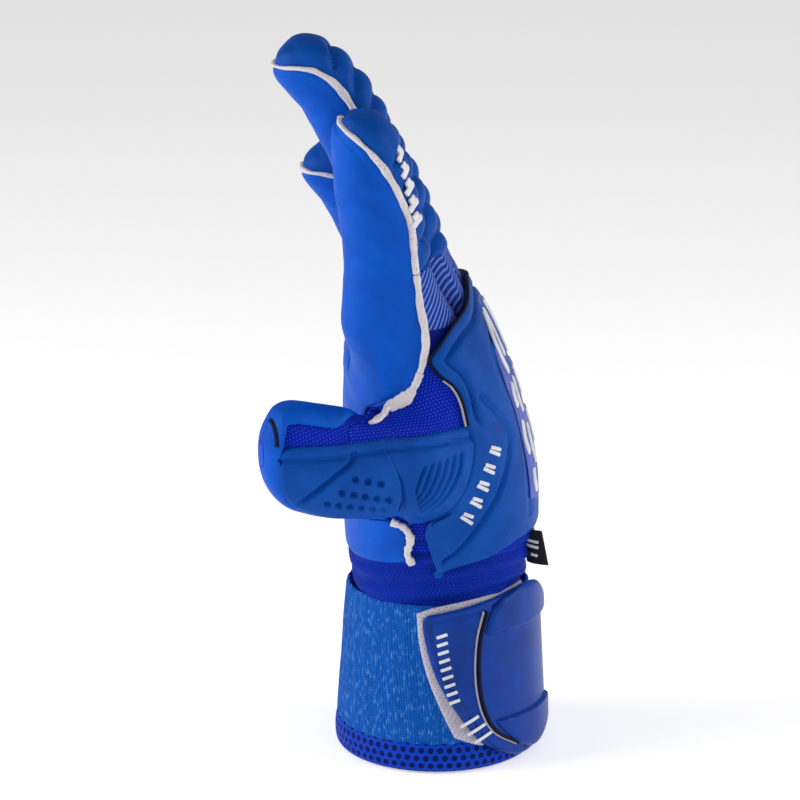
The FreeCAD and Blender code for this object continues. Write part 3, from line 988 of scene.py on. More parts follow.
@dataclass
class Assembly:
    """A group of pieces; keeps each one in the frame and reports it."""

    title: str

    def keep(self, obj: bpy.types.Object, body: str = "", bend: Optional[Bend] = None,
             nodes: Sequence[str] = (), fill: Optional[float] = None,
             slot: str = "") -> bpy.types.Object:
        """Attaches a piece, or bakes its place into its mesh if it has a bend, then hides the
        plain solids it stands for and logs it.

        Args:
            obj: the piece.
            body: the body it is attached to, if it has no bend.
            bend: the joint it spans; if given, its place is baked into its mesh and it is not
                attached.
            nodes: the plain solids it stands for.
            fill: how full it is, where it is padded; not used.
            slot: the finish it takes; not used.
        Returns:
            The piece.
        """
        if bend:
            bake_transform(obj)
        else:
            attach(obj, body)
        if nodes:
            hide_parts(*nodes)
        LOG.info("%s: %s, %d faces", self.title, obj.name, len(obj.data.polygons))
        return obj


def join_all(name: str, objects: Sequence[bpy.types.Object]) -> bpy.types.Object:
    """Several meshes as one object."""
    bpy.ops.object.select_all(action="DESELECT")
    for obj in objects:
        obj.select_set(True)
    bpy.context.view_layer.objects.active = objects[0]
    if len(objects) > 1:
        bpy.ops.object.join()
    made = bpy.context.active_object
    made.name = name
    made.data.name = name
    return made


def grid_of(us: Array, vs: Array) -> Array:
    """Every pair of the places across and along."""
    u, v = np.meshgrid(us, vs)
    return np.stack([u, v], -1)


def bars(name: str, surface: Callable[[Array, Array], Array],
         marks: Sequence[Rows], wide: float, base: float, rise: float,
         look: Finish) -> bpy.types.Object:
    """Raised bars laid on a form along short lines.

    Args:
        name: the piece's name.
        surface: gives points from two places.
        marks: for each bar, its line in the two places.
        wide: half width in millimetres.
        base: height of the form under the bars.
        rise: how far they stand above it.
        look: their finish.
    Returns:
        One object of all the bars.
    """
    made = []
    for k, line in enumerate(marks):
        places = curve(line, 16)
        path = surface(places[:, 0], places[:, 1])
        across = surface(places[:, 0] + EDGE_TURN, places[:, 1]) - path
        along = surface(places[:, 0], places[:, 1] + 1.0) - path
        normal = np.cross(across, along)
        normal /= np.linalg.norm(normal, axis=1, keepdims=True)
        made.append(strip("%s_%d" % (name, k), path + normal * base, normal,
                          np.full(len(path), wide), rise, look, 10))
    return join_all(name, made)


# Rows of the distance left to the tip and the seam's angle there, in degrees.
SEAM = ((0, 0), (4, 0), (8, 42), (14, 72), (19, 90), (26, 100), (34, 104), (400, 106))
INDEX_SEAM = ((0, 0), (4, 0), (8, 42), (14, 72), (19, 90), (26, 108), (34, 122), (42, 132),
              (49, 138), (55, 136), (67, 130.7), (77, 126), (85, 127), (91, 125), (97, 118),
              (104.4, 105.5), (400, 105))


@dataclass
class Finger(Assembly):
    """One finger: a lower part over the knuckle and an upper part over the middle joint."""

    form: FingerForm = None
    knuckle: Tuple[float, float] = (-9.5, 160.0)
    middle: Tuple[float, float] = (-17.5, 203.0)
    split: float = 188.0           # height at which the two parts meet
    bend_low: Tuple[float, float] = (150.0, 172.0)
    seam_rows: Rows = SEAM         # distance left to the tip, and the seam's angle
    first_puff: float = 10.0       # distance from the tip to the first groove

    def __post_init__(self) -> None:
        """Measures the finger along its outer side."""
        self.length = self.form.length
        s = np.linspace(0, self.length, 400)
        line = self.form.point(np.full(400, math.pi / 2), s)
        step = np.linalg.norm(np.diff(line, axis=0), axis=1)
        run = np.concatenate([[0.0], np.cumsum(step)])
        self.samples = (s, run[-1] - run)
        self.cut = self.form.run_at_height(self.split)

    def seam(self, s: Array) -> Array:
        """Angle of the seam between palm side and back, at distances along."""
        left = np.interp(s, *self.samples)
        places, angles = np.array(self.seam_rows, float).T
        angle = np.interp(left, places, angles)
        return np.radians(angle)

    def rows(self, start: float, end: float) -> Array:
        """Distances of the rows, closer together over the rounded tip."""
        cap = self.form.cap
        top = self.length - cap
        if end <= top + 0.1:
            return start + (end - start) * stops(end - start, 1.0)
        body = start + (top - start) * stops(top - start, 1.0, True, False)
        turn = np.sin(np.radians(np.linspace(4, 90, 26)))
        tip = top + cap * turn * (end - top) / cap
        return np.concatenate([body, tip])

    def patch_places(self, start: float, end: float, back: bool) -> Array:
        """Places of the palm side or of the back between two distances."""
        vs = self.rows(start, end)
        seam = self.seam(vs)
        across = stops(46.0, 1.3)
        low = np.where(back, seam, -seam)
        high = np.where(back, TURN - seam, seam)
        u = low[:, None] + (high - low)[:, None] * across[None, :]
        return np.stack([u, np.broadcast_to(vs[:, None], u.shape)], -1)

    def bends(self) -> Tuple[Bend, Bend]:
        """The knuckle's bend and the middle joint's."""
        name = self.form.name
        x0 = self.knuckle[0]
        x1, z1 = self.middle
        _, _, c, s = self.form.frame_at(np.array([self.form.run_at_height(z1)]))
        dx, dz = -float(s[0]) * 11.0, float(c[0]) * 11.0
        low = Bend("hand", name + "_proximal", (x0, self.form.y, self.bend_low[0]),
                   (x0, self.form.y, self.bend_low[1]))
        up = Bend(name + "_proximal", name + "_distal",
                  (x1 - dx, self.form.y, z1 - dz), (x1 + dx, self.form.y, z1 + dz))
        return low, up

    def palm_height(self, patch: Patch) -> Array:
        """The palm side's latex: smooth, rolled at its seams, creased at the joints."""
        side = np.minimum(patch.left, patch.right)
        under = (1.0 - ramp(patch.high, 1.0, 2.2)) * self.open_top(patch)
        h = rolled(side, 1.0, 2.4) - 0.07 * under
        h += -0.45 * np.exp(-((side - 4.6) / 0.7) ** 2) * ramp(patch.high, 0.0, 8.0)
        wave = 0.25 * ripple(patch.places[..., 1] * 0.6 + patch.places[..., 0] * 9, 2.0)
        return h + wave * ramp(side, 1.0, 8.0)

    def open_top(self, patch: Patch) -> float:
        """1 where the patch ends before the tip."""
        return 1.0 if patch.places[-1, 0, 1] < self.length - 6.0 else 0.0

    def back_height(self, patch: Patch) -> Array:
        """The back's latex: puffs between curved grooves."""
        u, s = patch.places[..., 0], patch.places[..., 1]
        away = np.abs(u - math.pi)
        q = (self.length - s) - 5.0 * np.minimum(away, 1.25) ** 2
        wave = np.abs(np.sin(math.pi * (q - self.first_puff) / PUFF_PITCH)) ** 0.6
        puff = PUFF_DEPTH * (wave - 1.0) * ramp(q, self.first_puff - 6.0, self.first_puff - 1.5)
        side = np.minimum(patch.left, patch.right)
        body = ramp(side, 0.5, 7.0)
        closed = ramp(self.length - s, 1.5, 6.0)
        h = puff * ramp(side, 1.5, 6.0) + 1.5 * body
        return h + rolled(side, 1.3, 2.6) * closed + rolled(patch.low, 0.8, 1.6)

    def knit_height(self, patch: Patch) -> Array:
        """The knit below the back's latex: taut, slightly hollow."""
        side = np.minimum(patch.left, patch.right)
        s = patch.places[..., 1]
        return rolled(side, 0.5, 1.2) - 0.35 + 0.2 * ripple(s, 1.0) - 2.3 * (
            1.0 - ramp(s, 12.0, 30.0))

    def tube(self, name: str, start: float, end: float) -> bpy.types.Object:
        """The lining that fills the finger between its panels."""
        vs = self.rows(start, end)
        us = np.linspace(0, TURN, 73)
        vs = np.minimum(vs, self.length - 0.35)

        def height(patch: Patch) -> Array:
            tip = ramp(self.length - patch.places[..., 1], 0.0, 2.0)
            return -1.5 - 0.8 * (1 - tip)

        return lay(name, self.form.point, grid_of(us, vs), height, LINER, 0.7, True)

    def seam_strip(self, name: str, start: float, end: float) -> bpy.types.Object:
        """The raw latex edge that stands up along the seam."""
        made = []
        over_tip = end > self.length - 6.0
        for k, sign in enumerate((1.0, -1.0)):
            last = float(np.interp(4.3, self.samples[1][::-1], self.samples[0][::-1])
                         ) if over_tip else end
            s = last - (last - start) * np.linspace(1, 0, 90) ** 1.4
            u = sign * self.seam(s)
            path = self.form.point(u, s)
            wide = 1.35 + 0.35 * ripple(s, 3.0 + k) - 0.5 * (1 - ramp(
                self.length - s, 6.0, 26.0))
            if over_tip and sign < 0:
                made[0] = (np.concatenate([made[0][0], path[::-1][1:]]),
                           np.concatenate([made[0][1], wide[::-1][1:]]))
            else:
                made.append((path, wide))
        objects = []
        for k, (path, wide) in enumerate(made):
            even = curve(np.column_stack([path, wide])[::3], 170 if over_tip else 60)
            centre = np.column_stack([np.interp(even[:, 2], self.line_z, self.line_x),
                                      np.full(len(even), self.form.y), even[:, 2]])
            normal = even[:, :3] - centre
            normal /= np.linalg.norm(normal, axis=1, keepdims=True)
            objects.append(strip("%s_%d" % (name, k), even[:, :3], normal, even[:, 3],
                                 1.15, EDGE))
        return join_all(name, objects)

    @property
    def line_z(self) -> Array:
        """Heights of the centre line."""
        return self.form.line()[:, 2]

    @property
    def line_x(self) -> Array:
        """Centre line's x at those heights."""
        return self.form.line()[:, 1]

    def build(self) -> None:
        """Makes the finger's pieces."""
        name, point = self.form.name, self.form.point
        low, up = self.bends()
        gap = 0.06
        spans = ((0.0, self.cut - gap, low, "proximal"),
                 (self.cut + gap, self.length, up, "distal"))
        for start, end, bend, part in spans:
            top = part == "distal"
            tip = float(np.interp(4.0, self.samples[1][::-1], self.samples[0][::-1]))
            stem = "%s_%s" % (name, part)
            self.keep(self.tube(stem + "_lining", start, end), bend=bend,
                      slot="lining_knit")
            palm = lay(stem + "_palm_latex", point,
                       self.patch_places(start, tip if top else end + 1.2, False),
                       self.palm_height, LATEX, 1.5)
            self.keep(palm, bend=bend, nodes=[stem + "_palm"], fill=0.8,
                      slot="latex_palm")
            places = self.patch_places(start, end, True)
            if top:
                back = lay(stem + "_back_latex", point, places, self.back_height,
                           BACK_FOAM, 1.6)
                self.keep(back, bend=bend, nodes=[stem + "_back"], fill=0.9,
                          slot="latex_back")
            else:
                back = lay(stem + "_back_knit", point, places, self.knit_height,
                           PRINTED, 0.9)
                self.keep(back, bend=bend, nodes=[stem + "_back"], slot="printed_knit")
            edge = self.seam_strip(stem + "_raw_edge", max(start, 4.0), end)
            self.keep(edge, bend=bend, nodes=[stem + "_seam"], slot="latex_edge")


def on_hand(points: Rows) -> List[Tuple[float, float]]:
    """Angle on the hand of points given by x and height."""
    pts = np.array(points, float)
    return list(zip(HAND.angle_at(pts[:, 0], pts[:, 1]).tolist(), pts[:, 1].tolist()))


def on_cuff(points: Rows) -> List[Tuple[float, float]]:
    """Angle on the cuff of points given by x and height."""
    pts = np.array(points, float)
    return list(zip(CUFF.angle_at(pts[:, 0], pts[:, 1]).tolist(), pts[:, 1].tolist()))


def mirrored(points: Rows) -> List[Tuple[float, float]]:
    """The same places on the little finger's side."""
    return [(TURN - a, z) for a, z in points]


# Outlines on the thumb side, as rows of x and height in millimetres.
KNUCKLE_EDGE = ((-2.5, 159.0), (1.1, 164.1), (4.9, 168.9), (8.8, 172.4), (11.8, 175.4))
WEB_EDGE = ((11.6, 134.8), (10.8, 138.4), (10.0, 141.8), (8.5, 145.8),
            (6.3, 149.3), (3.4, 151.8), (0.6, 154.3), (-2.5, 159.0))
PAD_EDGE = ((-9.0, 96.7), (-3.5, 98.1), (1.9, 100.9), (7.4, 106.2), (11.1, 113.2),
            (13.2, 120.3), (13.7, 127.3), (12.9, 131.5), (11.6, 134.8))
COVER_ARC = ((15.8, 144.6), (19.4, 140.4), (24.0, 134.0), (26.3, 127.4),
             (26.3, 121.6), (24.8, 114.6), (21.7, 106.4), (15.7, 96.6), (8.9, 87.4),
             (2.5, 81.4))
HEEL_SIDE = ((-9.5, 81.0), (-11.4, 85.1), (-10.2, 90.6), (-12.0, 94.6), (-17.5, 97.2))
GROOVE_B = ((-13.6, 102.6), (-12.2, 105.7), (-11.2, 109.9), (-11.6, 115.4),
            (-13.2, 121.0), (-16.2, 126.5), (-18.2, 131.0), (-19.4, 134.9))
GROOVE_A = ((-28.5, 130.6), (-30.2, 127.4), (-34.9, 123.9), (-40.2, 119.8),
            (-45.6, 115.7), (-53.0, 110.9))


def finger_marks(finger: Finger) -> None:
    """Raised plain bars on the index finger's upper back, beside its seam."""
    marks = []
    for k in range(5):
        s0 = 60.5 + 5.9 * k
        marks.append([(2.36, s0 - 1.6), (2.58, s0), (2.82, s0 + 0.8)])
        marks.append([(2.44, s0 + 1.2), (2.66, s0 + 2.4)])
    name = finger.form.name
    obj = bars(name + "_marks", finger.form.point, marks, 1.25, 1.2, 0.6, PRINT)
    finger.keep(obj, name + "_distal", slot="raised_print")


@dataclass
class HandBody(Assembly):
    """The hand: palm latex, embossed back cover, mesh web and their trims."""

    def palm_height(self, patch: Patch) -> Array:
        """Smooth palm latex, rolled at its border."""
        side = np.minimum(patch.left, patch.right)
        h = rolled(side, 1.0, 2.6) + rolled(patch.low, 0.7, 1.6)
        h += -0.08 - 0.6 * ramp(patch.z, 147.2, 149.4)
        h += -0.45 * np.exp(-((patch.right - 4.6) / 0.7) ** 2)
        return h + 0.3 * ripple(patch.z * 0.5 + patch.left * 0.3, 4.0) * ramp(side, 2, 12)

    def cover_height(self, patch: Patch) -> Array:
        """Embossed back: border band, curved band and the print's frame."""
        x, z = patch.x, patch.z
        left = np.minimum(patch.left, patch.right)
        edge = np.minimum(left, patch.high)
        h = rolled(left, 1.1, 2.4) + rolled(patch.high, 1.1, 2.4) + rolled(patch.low, 1.0, 2.2)
        side = ramp(np.abs(patch.base[..., 1]), 4.0, 14.0)
        web = ramp(z, 133.0, 137.0)
        h += -1.2 * np.exp(-((edge - 5.2) / 0.8) ** 2) * web
        h += 0.5 * ramp(edge, 5.2, 9.0) * web
        h += groove(x, z, COVER_ARC, 0.8, 1.5) * side
        frame_line = ((18.0, 174.0), (19.4, 165.0), (20.2, 157.0), (24.0, 147.0),
                      (28.6, 135.0), (32.2, 121.0), (33.8, 108.0), (34.2, 96.0))
        h += groove(x, z, frame_line, 0.8, 0.8) * side
        return h + 0.4 * ramp(edge, 1.0, 9.0) * (1 - web)

    def cover(self) -> None:
        """The embossed cover and its piping."""
        left = on_hand([(0.7, 75.8), (-1.3, 82.0), (-3.0, 88.0), (-4.2, 92.6),
                        (-2.8, 97.0)] + list(PAD_EDGE[2:-1]) + list(WEB_EDGE))
        up_edge = on_hand(KNUCKLE_EDGE)
        top = up_edge + [(2.72, 176.6), (math.pi, 177.2), (TURN - 2.72, 176.6)] \
            + mirrored(up_edge)[::-1]
        foot = on_hand([(0.7, 75.8), (7.7, 79.3), (18.4, 82.4), (24.1, 85.0),
                        (30.0, 87.4)])
        low = foot + [(2.62, 88.2), (math.pi, 88.6), (TURN - 2.62, 88.2)] \
            + mirrored(foot)[::-1]
        places = spread(ON_HAND, (low, top, left, mirrored(left)), (165.0, 95.0),
                        (0.75, 0.62))
        obj = lay("back_cover_latex", HAND.point, places, self.cover_height, BACK_FOAM,
                  2.0, joined=True)
        self.keep(obj, "hand", nodes=["backhand_cover"], fill=0.9, slot="latex_back")
        rim = left[11:]
        even = even_places(rim[:-1] + top + mirrored(rim)[::-1][1:], 420)
        path = settle(HAND.point(even[:, 0], even[:, 1]))
        normal = self.out_of(even)
        self.keep(strip("cover_piping", path - normal * 0.3, normal,
                        np.full(len(path), 0.5), 0.55, PIPING, 10),
                  "hand", nodes=["cover_piping"], slot="piping_cord")
        beside = on_hand([(x - 0.9, z) for x, z in WEB_EDGE[:-2]])
        pale = []
        for k, seam in enumerate((beside, mirrored(beside))):
            pts = even_places(seam, 80)
            line = settle(HAND.point(pts[:, 0], pts[:, 1]))
            out = self.out_of(pts)
            pale.append(strip("pale_%d" % k, line - out * 0.3, out,
                              np.full(len(line), 0.42), 0.5, PIPING_LIGHT, 8))
        self.keep(join_all("piping_thread", pale), "hand", slot="piping_cord")

    def out_of(self, places: Array) -> Array:
        """Directions out of the hand at places on it."""
        e = 0.004
        a = HAND.point(places[:, 0] + e, places[:, 1]) - HAND.point(
            places[:, 0] - e, places[:, 1])
        b = HAND.point(places[:, 0], places[:, 1] + 0.2) - HAND.point(
            places[:, 0], places[:, 1] - 0.2)
        n = np.cross(a, b)
        return n / np.linalg.norm(n, axis=1, keepdims=True)

    def emblem(self) -> None:
        """The printed field down the back and its raised plain marks."""
        side = on_hand([(34.4, 101.0), (33.6, 111.0), (31.8, 121.0), (28.8, 133.0),
                        (24.8, 145.0), (21.2, 156.0), (18.6, 164.0), (16.4, 169.0)])
        top = [side[-1], (2.86, 170.4), (TURN - 2.86, 170.4), mirrored(side)[-1]]
        low = [side[0], (2.86, 97.4), (TURN - 2.86, 97.4), mirrored(side)[0]]
        places = spread(ON_HAND, (low, top, side, mirrored(side)), (60.0, 72.0),
                        (1.2, 1.2))

        def height(patch: Patch) -> Array:
            side_gap = np.minimum(np.minimum(patch.left, patch.right),
                                  np.minimum(patch.low, patch.high))
            return 0.5 + rolled(side_gap, 0.4, 1.2)

        self.keep(lay("printed_back_field", HAND.point, places, height, VIOLET, 0.8),
                  "hand", slot="raised_print")
        marks = []
        for flip in (1.0, -1.0):
            for line in ([(0.46, 167.0), (0.62, 160.0), (0.60, 152.0), (0.50, 146.5)],
                         [(0.30, 168.0), (0.36, 160.0), (0.34, 151.0)],
                         [(0.56, 142.5), (0.62, 139.0), (0.60, 134.5)],
                         [(0.34, 143.0), (0.42, 137.0), (0.38, 131.0)],
                         [(0.58, 129.0), (0.64, 123.0), (0.60, 117.5)],
                         [(0.36, 126.0), (0.42, 119.0), (0.38, 112.0)],
                         [(0.56, 111.5), (0.56, 107.0), (0.50, 103.0)]):
                marks.append([(math.pi - flip * a, z) for a, z in line])
        self.keep(bars("back_marks", HAND.point, marks, 2.0, 0.7, 0.6, PRINT), "hand",
                  nodes=["backhand_emblem"], slot="raised_print")
        slants = []
        for flip in (False, True):
            for k in range(5):
                t = k / 4.0
                x0 = 10.4 + 9.6 * t ** 0.8
                z0 = 98.4 + 24.0 * t
                line = on_hand([(x0 - 1.6 + 0.4 * t, z0 + 2.2), (x0 + 2.6, z0 - 1.0 + 0.8 * t)])
                slants.append(mirrored(line) if flip else line)
                notch = on_hand([(x0 - 0.6, z0 + 3.4), (x0 + 2.9, z0 + 1.6)])
                slants.append(mirrored(notch) if flip else notch)

        def joined(a: Array, z: Array) -> Array:
            return settle(HAND.point(a, z))

        self.keep(bars("band_marks", joined, slants, 0.72, 0.35, 0.45, PRINT), "hand",
                  slot="raised_print")

    def palm(self) -> None:
        """The palm's latex, its heel and their raw edges."""
        rim = [(-17.5, 97.6), (-22.0, 100.5), (-26.0, 106.0), (-26.6, 122.0),
               (-26.0, 138.0), (-19.5, 141.2), (-12.6, 144.4), (-8.4, 147.4),
               (-7.2, 149.2)]
        far = [(-17.5, 97.6), (-14.0, 106.0), (-12.0, 122.0), (-10.0, 138.0), (-7.2, 149.2)]
        right = on_hand(rim)
        left = [(-a, z) for a, z in on_hand(far)]
        low = [left[0], (-0.9, 96.6), (0.0, 96.4), (0.9, 96.6), right[0]]
        top = [left[-1], (-0.9, 149.4), (0.0, 149.4), (0.9, 149.4), right[-1]]
        places = spread(ON_HAND, (low, top, left, right), (120.0, 52.0), (1.2, 1.2))
        self.keep(lay("palm_latex_panel", HAND.point, places, self.palm_height, LATEX,
                      1.5), "hand", nodes=["palm_latex"], fill=0.8, slot="latex_palm")
        heel_right = on_hand(HEEL_SIDE)
        heel_left = [(-a, z) for a, z in heel_right]
        low = [heel_left[0], (-0.9, 79.4), (0.0, 79.0), (0.9, 79.4), heel_right[0]]
        top = [heel_left[-1], (-0.9, 96.3), (0.0, 96.1), (0.9, 96.3), heel_right[-1]]
        places = spread(ON_HAND, (low, top, heel_left, heel_right), (110.0, 17.0),
                        (1.2, 1.0))

        def heel_height(patch: Patch) -> Array:
            side = np.minimum(patch.left, patch.right)
            return (rolled(side, 0.9, 2.2) + rolled(patch.low, 0.9, 2.2)
                    + rolled(patch.high, 0.9, 2.0) - 0.2)

        self.keep(lay("palm_heel_panel", HAND.point, places, heel_height, LATEX, 1.5),
                  "hand", nodes=["palm_heel"], fill=0.8, slot="latex_palm")
        made = []
        for k, line in enumerate((on_hand([(-23.6, 139.6), (-18.9, 141.8), (-11.0, 145.6),
                                           (-8.0, 149.2), (-6.4, 152.6), (-5.6, 154.6)]),
                                  on_hand([(-8.6, 80.6), (-10.4, 85.1), (-9.2, 90.8),
                                           (-11.4, 95.4), (-16.0, 97.4)]),
                                  [(-a, z) for a, z in on_hand(far)],
                                  [(-a, z) for a, z in on_hand(HEEL_SIDE)])):
            pts = even_places(line, 90)
            wide = 1.35 + 0.45 * ripple(np.linspace(0, 60, 90), 7.0 + k)
            if k == 0:
                z = pts[:, 1]
                wide += (ramp(z, 140.0, 144.0) * (1 - ramp(z, 146, 150))
                         - 0.8 * (1 - ramp(z, 139.6, 142)))
            out = self.out_of(pts)
            made.append(strip("raw_%d" % k, settle(HAND.point(pts[:, 0], pts[:, 1])), out,
                              wide, 1.0, EDGE))
        self.keep(join_all("palm_raw_edge", made), "hand", nodes=["palm_seam"],
                  slot="latex_edge")

    def web(self) -> None:
        """The mesh between palm, back and thumb, on both sides of the hand."""
        us, vs = stops(46.0, 0.9), stops(24.0, 0.9)
        low = np.array([(-29.0, 131.0), (-10.0, 131.6), (13.0, 131.5)])
        top = np.array([(-29.0, 140.4), (-18.0, 143.6), (-8.0, 149.4), (-2.0, 160.5)])
        left = np.array([(-29.0, 131.0), (-29.1, 136.0), (-29.0, 140.4)])
        right = np.array([(13.0, 131.5), (12.6, 141.0), (5.0, 152.5), (-2.0, 160.5)])
        places = coons(low, top, left, right, us, vs)

        def height(patch: Patch) -> Array:
            fold = (np.sin((patch.x * 0.5 + patch.z) * 0.62) * 0.35
                    * ramp(patch.left, 6, 20) * ramp(patch.right, 6, 18))
            return -1.5 + fold

        obj = lay("web_mesh", side_on, places, height, AIR_MESH, 0.9, joined=True)
        self.keep(obj, "hand", nodes=["thumb_gusset"], slot="air_mesh")
        rows = np.linspace(74.0, 152.0, 70)
        for name, low_a, high_a in (("thumb_side_lining", 0.95, 2.35),
                                    ("little_side_lining", TURN - 2.35, TURN - 0.95)):
            grid = grid_of(np.linspace(low_a, high_a, 60), rows)
            obj = lay(name, HAND.point, grid, lambda p: np.full(p.x.shape, -2.3), AIR_MESH,
                      0.8)
            nodes = ["hand_lining", "knuckle_knit"] if name[0] == "t" else []
            self.keep(obj, "hand", nodes=nodes, slot="air_mesh")

    def label(self) -> None:
        """The folded label that sticks out under the cover at the back."""
        us, vs = stops(9.4, 0.9), stops(13.0, 0.9)
        u, v = np.meshgrid(us - 0.5, vs)

        def surface(a: Array, b: Array) -> Array:
            along = np.array([0.80, -0.60, 0.0])
            down = np.array([0.20, -0.16, -1.0])
            spot = np.array([34.6, -19.0, 87.2])
            curl = 1.3 * (a * 2.0) ** 2
            return (spot + a[..., None] * 9.4 * along + b[..., None] * 12.6 * down
                    + curl[..., None] * np.array([0.5, 0.7, 0.0]))

        places = np.stack([u, v], -1)

        def height(patch: Patch) -> Array:
            side = np.minimum(np.minimum(patch.left, patch.right), patch.low * 9)
            return 0.7 + rolled(side, 0.4, 0.8)

        self.keep(lay("folded_label", surface, places[::-1], height, LABEL, 1.3), "hand",
                  nodes=["label_tag"], slot="woven_label")
        marks = [[(-0.28, 0.30), (0.30, 0.34)], [(-0.26, 0.46), (0.26, 0.50)],
                 [(-0.12, 0.72), (0.16, 0.74)]]
        made = bars("label_marks", surface, marks, 0.55, -0.75, 0.15, PRINT)
        self.keep(made, "hand", slot="woven_label")

    def build(self) -> None:
        """Makes the hand's pieces."""
        self.web()
        self.palm()
        self.cover()
        self.emblem()
        self.label()


@dataclass
class Thumb(Assembly):
    """The thumb: latex wrap, mesh strip and the embossed back pad."""

    split: float = 17.0

    def wrap_places(self, start: float, end: float) -> Array:
        """Places of the latex that wraps the palm side, the top and the tip."""
        vs = self.rows(start, end)
        closing = ramp(vs, 54.5, 58.6)
        low = np.radians(-112.0) * (1 - closing) + np.radians(-180.0) * closing
        lobe = np.radians(58.0 + 63.0 * ramp(vs, 15.0, 38.0))
        high = lobe * (1 - closing) + np.radians(180.0) * closing
        us = stops(70.0, 1.2)
        u = high[:, None] + (low - high)[:, None] * us[None, :]
        return np.stack([u, np.broadcast_to(vs[:, None], u.shape)], -1)

    def rows(self, start: float, end: float) -> Array:
        """Distances of the rows, closer over the rounded tip."""
        top = THUMB.length - THUMB.cap
        if end < top:
            return start + (end - start) * stops(end - start, 1.2)
        body = start + (top - start) * stops(top - start, 1.2, True, False)
        turn = np.sin(np.radians(np.linspace(4, 90, 24)))
        return np.concatenate([body, top + (end - top) * turn])

    def wrap_height(self, patch: Patch) -> Array:
        """Puffed latex, rolled where it meets the mesh."""
        u, s = patch.places[..., 0], patch.places[..., 1]
        opened = 1.0 - ramp(s, 55.0, 59.0)
        side = np.minimum(patch.left, patch.right)
        lobe = 0.9 * ramp(u, 0.7, 1.5) * ramp(s, 20.0, 32.0) * opened
        dent = -1.5 * np.exp(-((s - 22.0) / 5.0) ** 2) * ramp(u, 0.9, 1.6)
        return (rolled(side, 1.9, 3.4) * opened + rolled(patch.low, 0.5, 1.4) + lobe
                + dent + rolled(patch.high, 0.5, 1.2) * (1.0 if s.max() < 50 else 0.0))

    def pad_height(self, patch: Patch) -> Array:
        """Embossed pad: border band, crossing grooves and rows of dimples."""
        x, z = patch.x, patch.z
        h = rolled(patch.right, 1.3, 2.6) + rolled(patch.left, 1.2, 2.6)
        h += rolled(patch.high, 1.1, 2.4) + rolled(patch.low, 1.7, 1.9)
        band = np.exp(-((patch.right - 4.6) / 0.9) ** 2)
        h += -1.0 * band + 0.5 * ramp(patch.right, 4.6, 8.6)
        face = 1.0 - ramp(patch.places[..., 0], 4.05, 4.4)
        h += groove(x, z, GROOVE_A, 0.8, 1.7) * face
        start_rows = ((-38.2, 113.0, 3.9, -0.95, 6), (-33.1, 117.0, 4.05, -1.15, 5),
                      (-28.4, 121.5, 4.4, -1.3, 3))
        for x0, z0, dx, dz, count in start_rows:
            for k in range(count):
                away = np.hypot(x - x0 - dx * k, z - z0 - dz * k)
                h += -DIMPLE_DEPTH * (1 - ramp(away, 0.6, 1.5)) * face
        return np.maximum(h, -1.6)

    def low_pad_height(self, patch: Patch) -> Array:
        """The pad's part over the thumb's base, with its fan of grooves."""
        x, z = patch.x, patch.z
        h = rolled(patch.left, 1.7, 1.9) + rolled(patch.right, 1.5, 1.9)
        h += rolled(patch.high, 1.3, 2.6) + rolled(patch.low, 1.2, 2.6)
        h += -1.0 * np.exp(-((patch.high - 4.4) / 0.9) ** 2)
        h += 0.5 * ramp(patch.high, 4.4, 8.4)
        for k in range(6):
            line = ((-3.9 + 2.58 * k, 123.5 + 0.46 * k),
                    (-5.6 + 2.70 * k, 119.4 - 0.1 * k),
                    (-6.7 + 1.95 * k, 115.6 - 1.1 * k), (-7.0 + 0.3 * k, 113.8 - 2.2 * k))
            h += groove(x, z, line, 0.5, 1.15)
        return h

    def build(self) -> None:
        """Makes the thumb's pieces."""
        ahead = THUMB.ahead
        root = np.array(THUMB.root)

        def at(s: float) -> Tuple[float, float, float]:
            spot = root + ahead * s
            return (float(spot[0]), float(spot[1]), 124.0)

        base = Bend("hand", "thumb_proximal", at(-9.0), at(6.0))
        tip = Bend("thumb_proximal", "thumb_distal", at(23.0), at(39.0))
        end = THUMB.length
        for part, start, stop, bend in (("proximal", -4.0, self.split - 0.15, base),
                                        ("distal", self.split + 0.15, end, tip)):
            stem = "thumb_" + part
            vs = self.rows(start, stop)
            vs = np.minimum(vs, THUMB.length - 0.3)
            grid = grid_of(np.linspace(TURN, 0, 85), vs)

            def lining(patch: Patch) -> Array:
                return np.full(patch.x.shape, -1.7)

            self.keep(lay(stem + "_lining", THUMB.point, grid, lining, AIR_MESH, 0.7, True),
                      bend=bend, nodes=[stem + "_seam"], slot="air_mesh")
            obj = lay(stem + "_latex_wrap", THUMB.point, self.wrap_places(start, stop),
                      self.wrap_height, LATEX, 1.5)
            self.keep(obj, bend=bend, nodes=[stem + "_palm"], fill=0.8, slot="latex_palm")
        us, vs = stops(46.0, 0.55), stops(30.0, 0.55)
        places = coons(np.array(GROOVE_B[:1] + ((-12.2, 99.4), (-9.0, 96.7))),
                       np.array(((-19.4, 134.9), (-6.0, 134.6), (6.0, 134.9), (11.6, 134.8))),
                       np.array(GROOVE_B), np.array(PAD_EDGE), us, vs)
        self.keep(lay("thumb_base_pad", side_on, places, self.low_pad_height, BACK_FOAM,
                      1.8, joined=True), bend=base, nodes=["thumb_proximal_back"], fill=0.9,
                  slot="latex_back")
        self.keep(self.tip_pad(), bend=tip, nodes=["thumb_distal_back"], fill=0.9,
                  slot="latex_back")
        fold = np.radians(np.linspace(97, 150, 40))
        path = THUMB.point(fold, 58.9 + 0.5 * np.sin(fold * 2))
        normal = path - np.append(root + ahead * 46.0, 130.0)
        normal /= np.linalg.norm(normal, axis=1, keepdims=True)
        self.keep(strip("thumb_tip_fold", path, normal, np.full(40, 0.8), 0.4, PIPING),
                  bend=tip, slot="lining_knit")

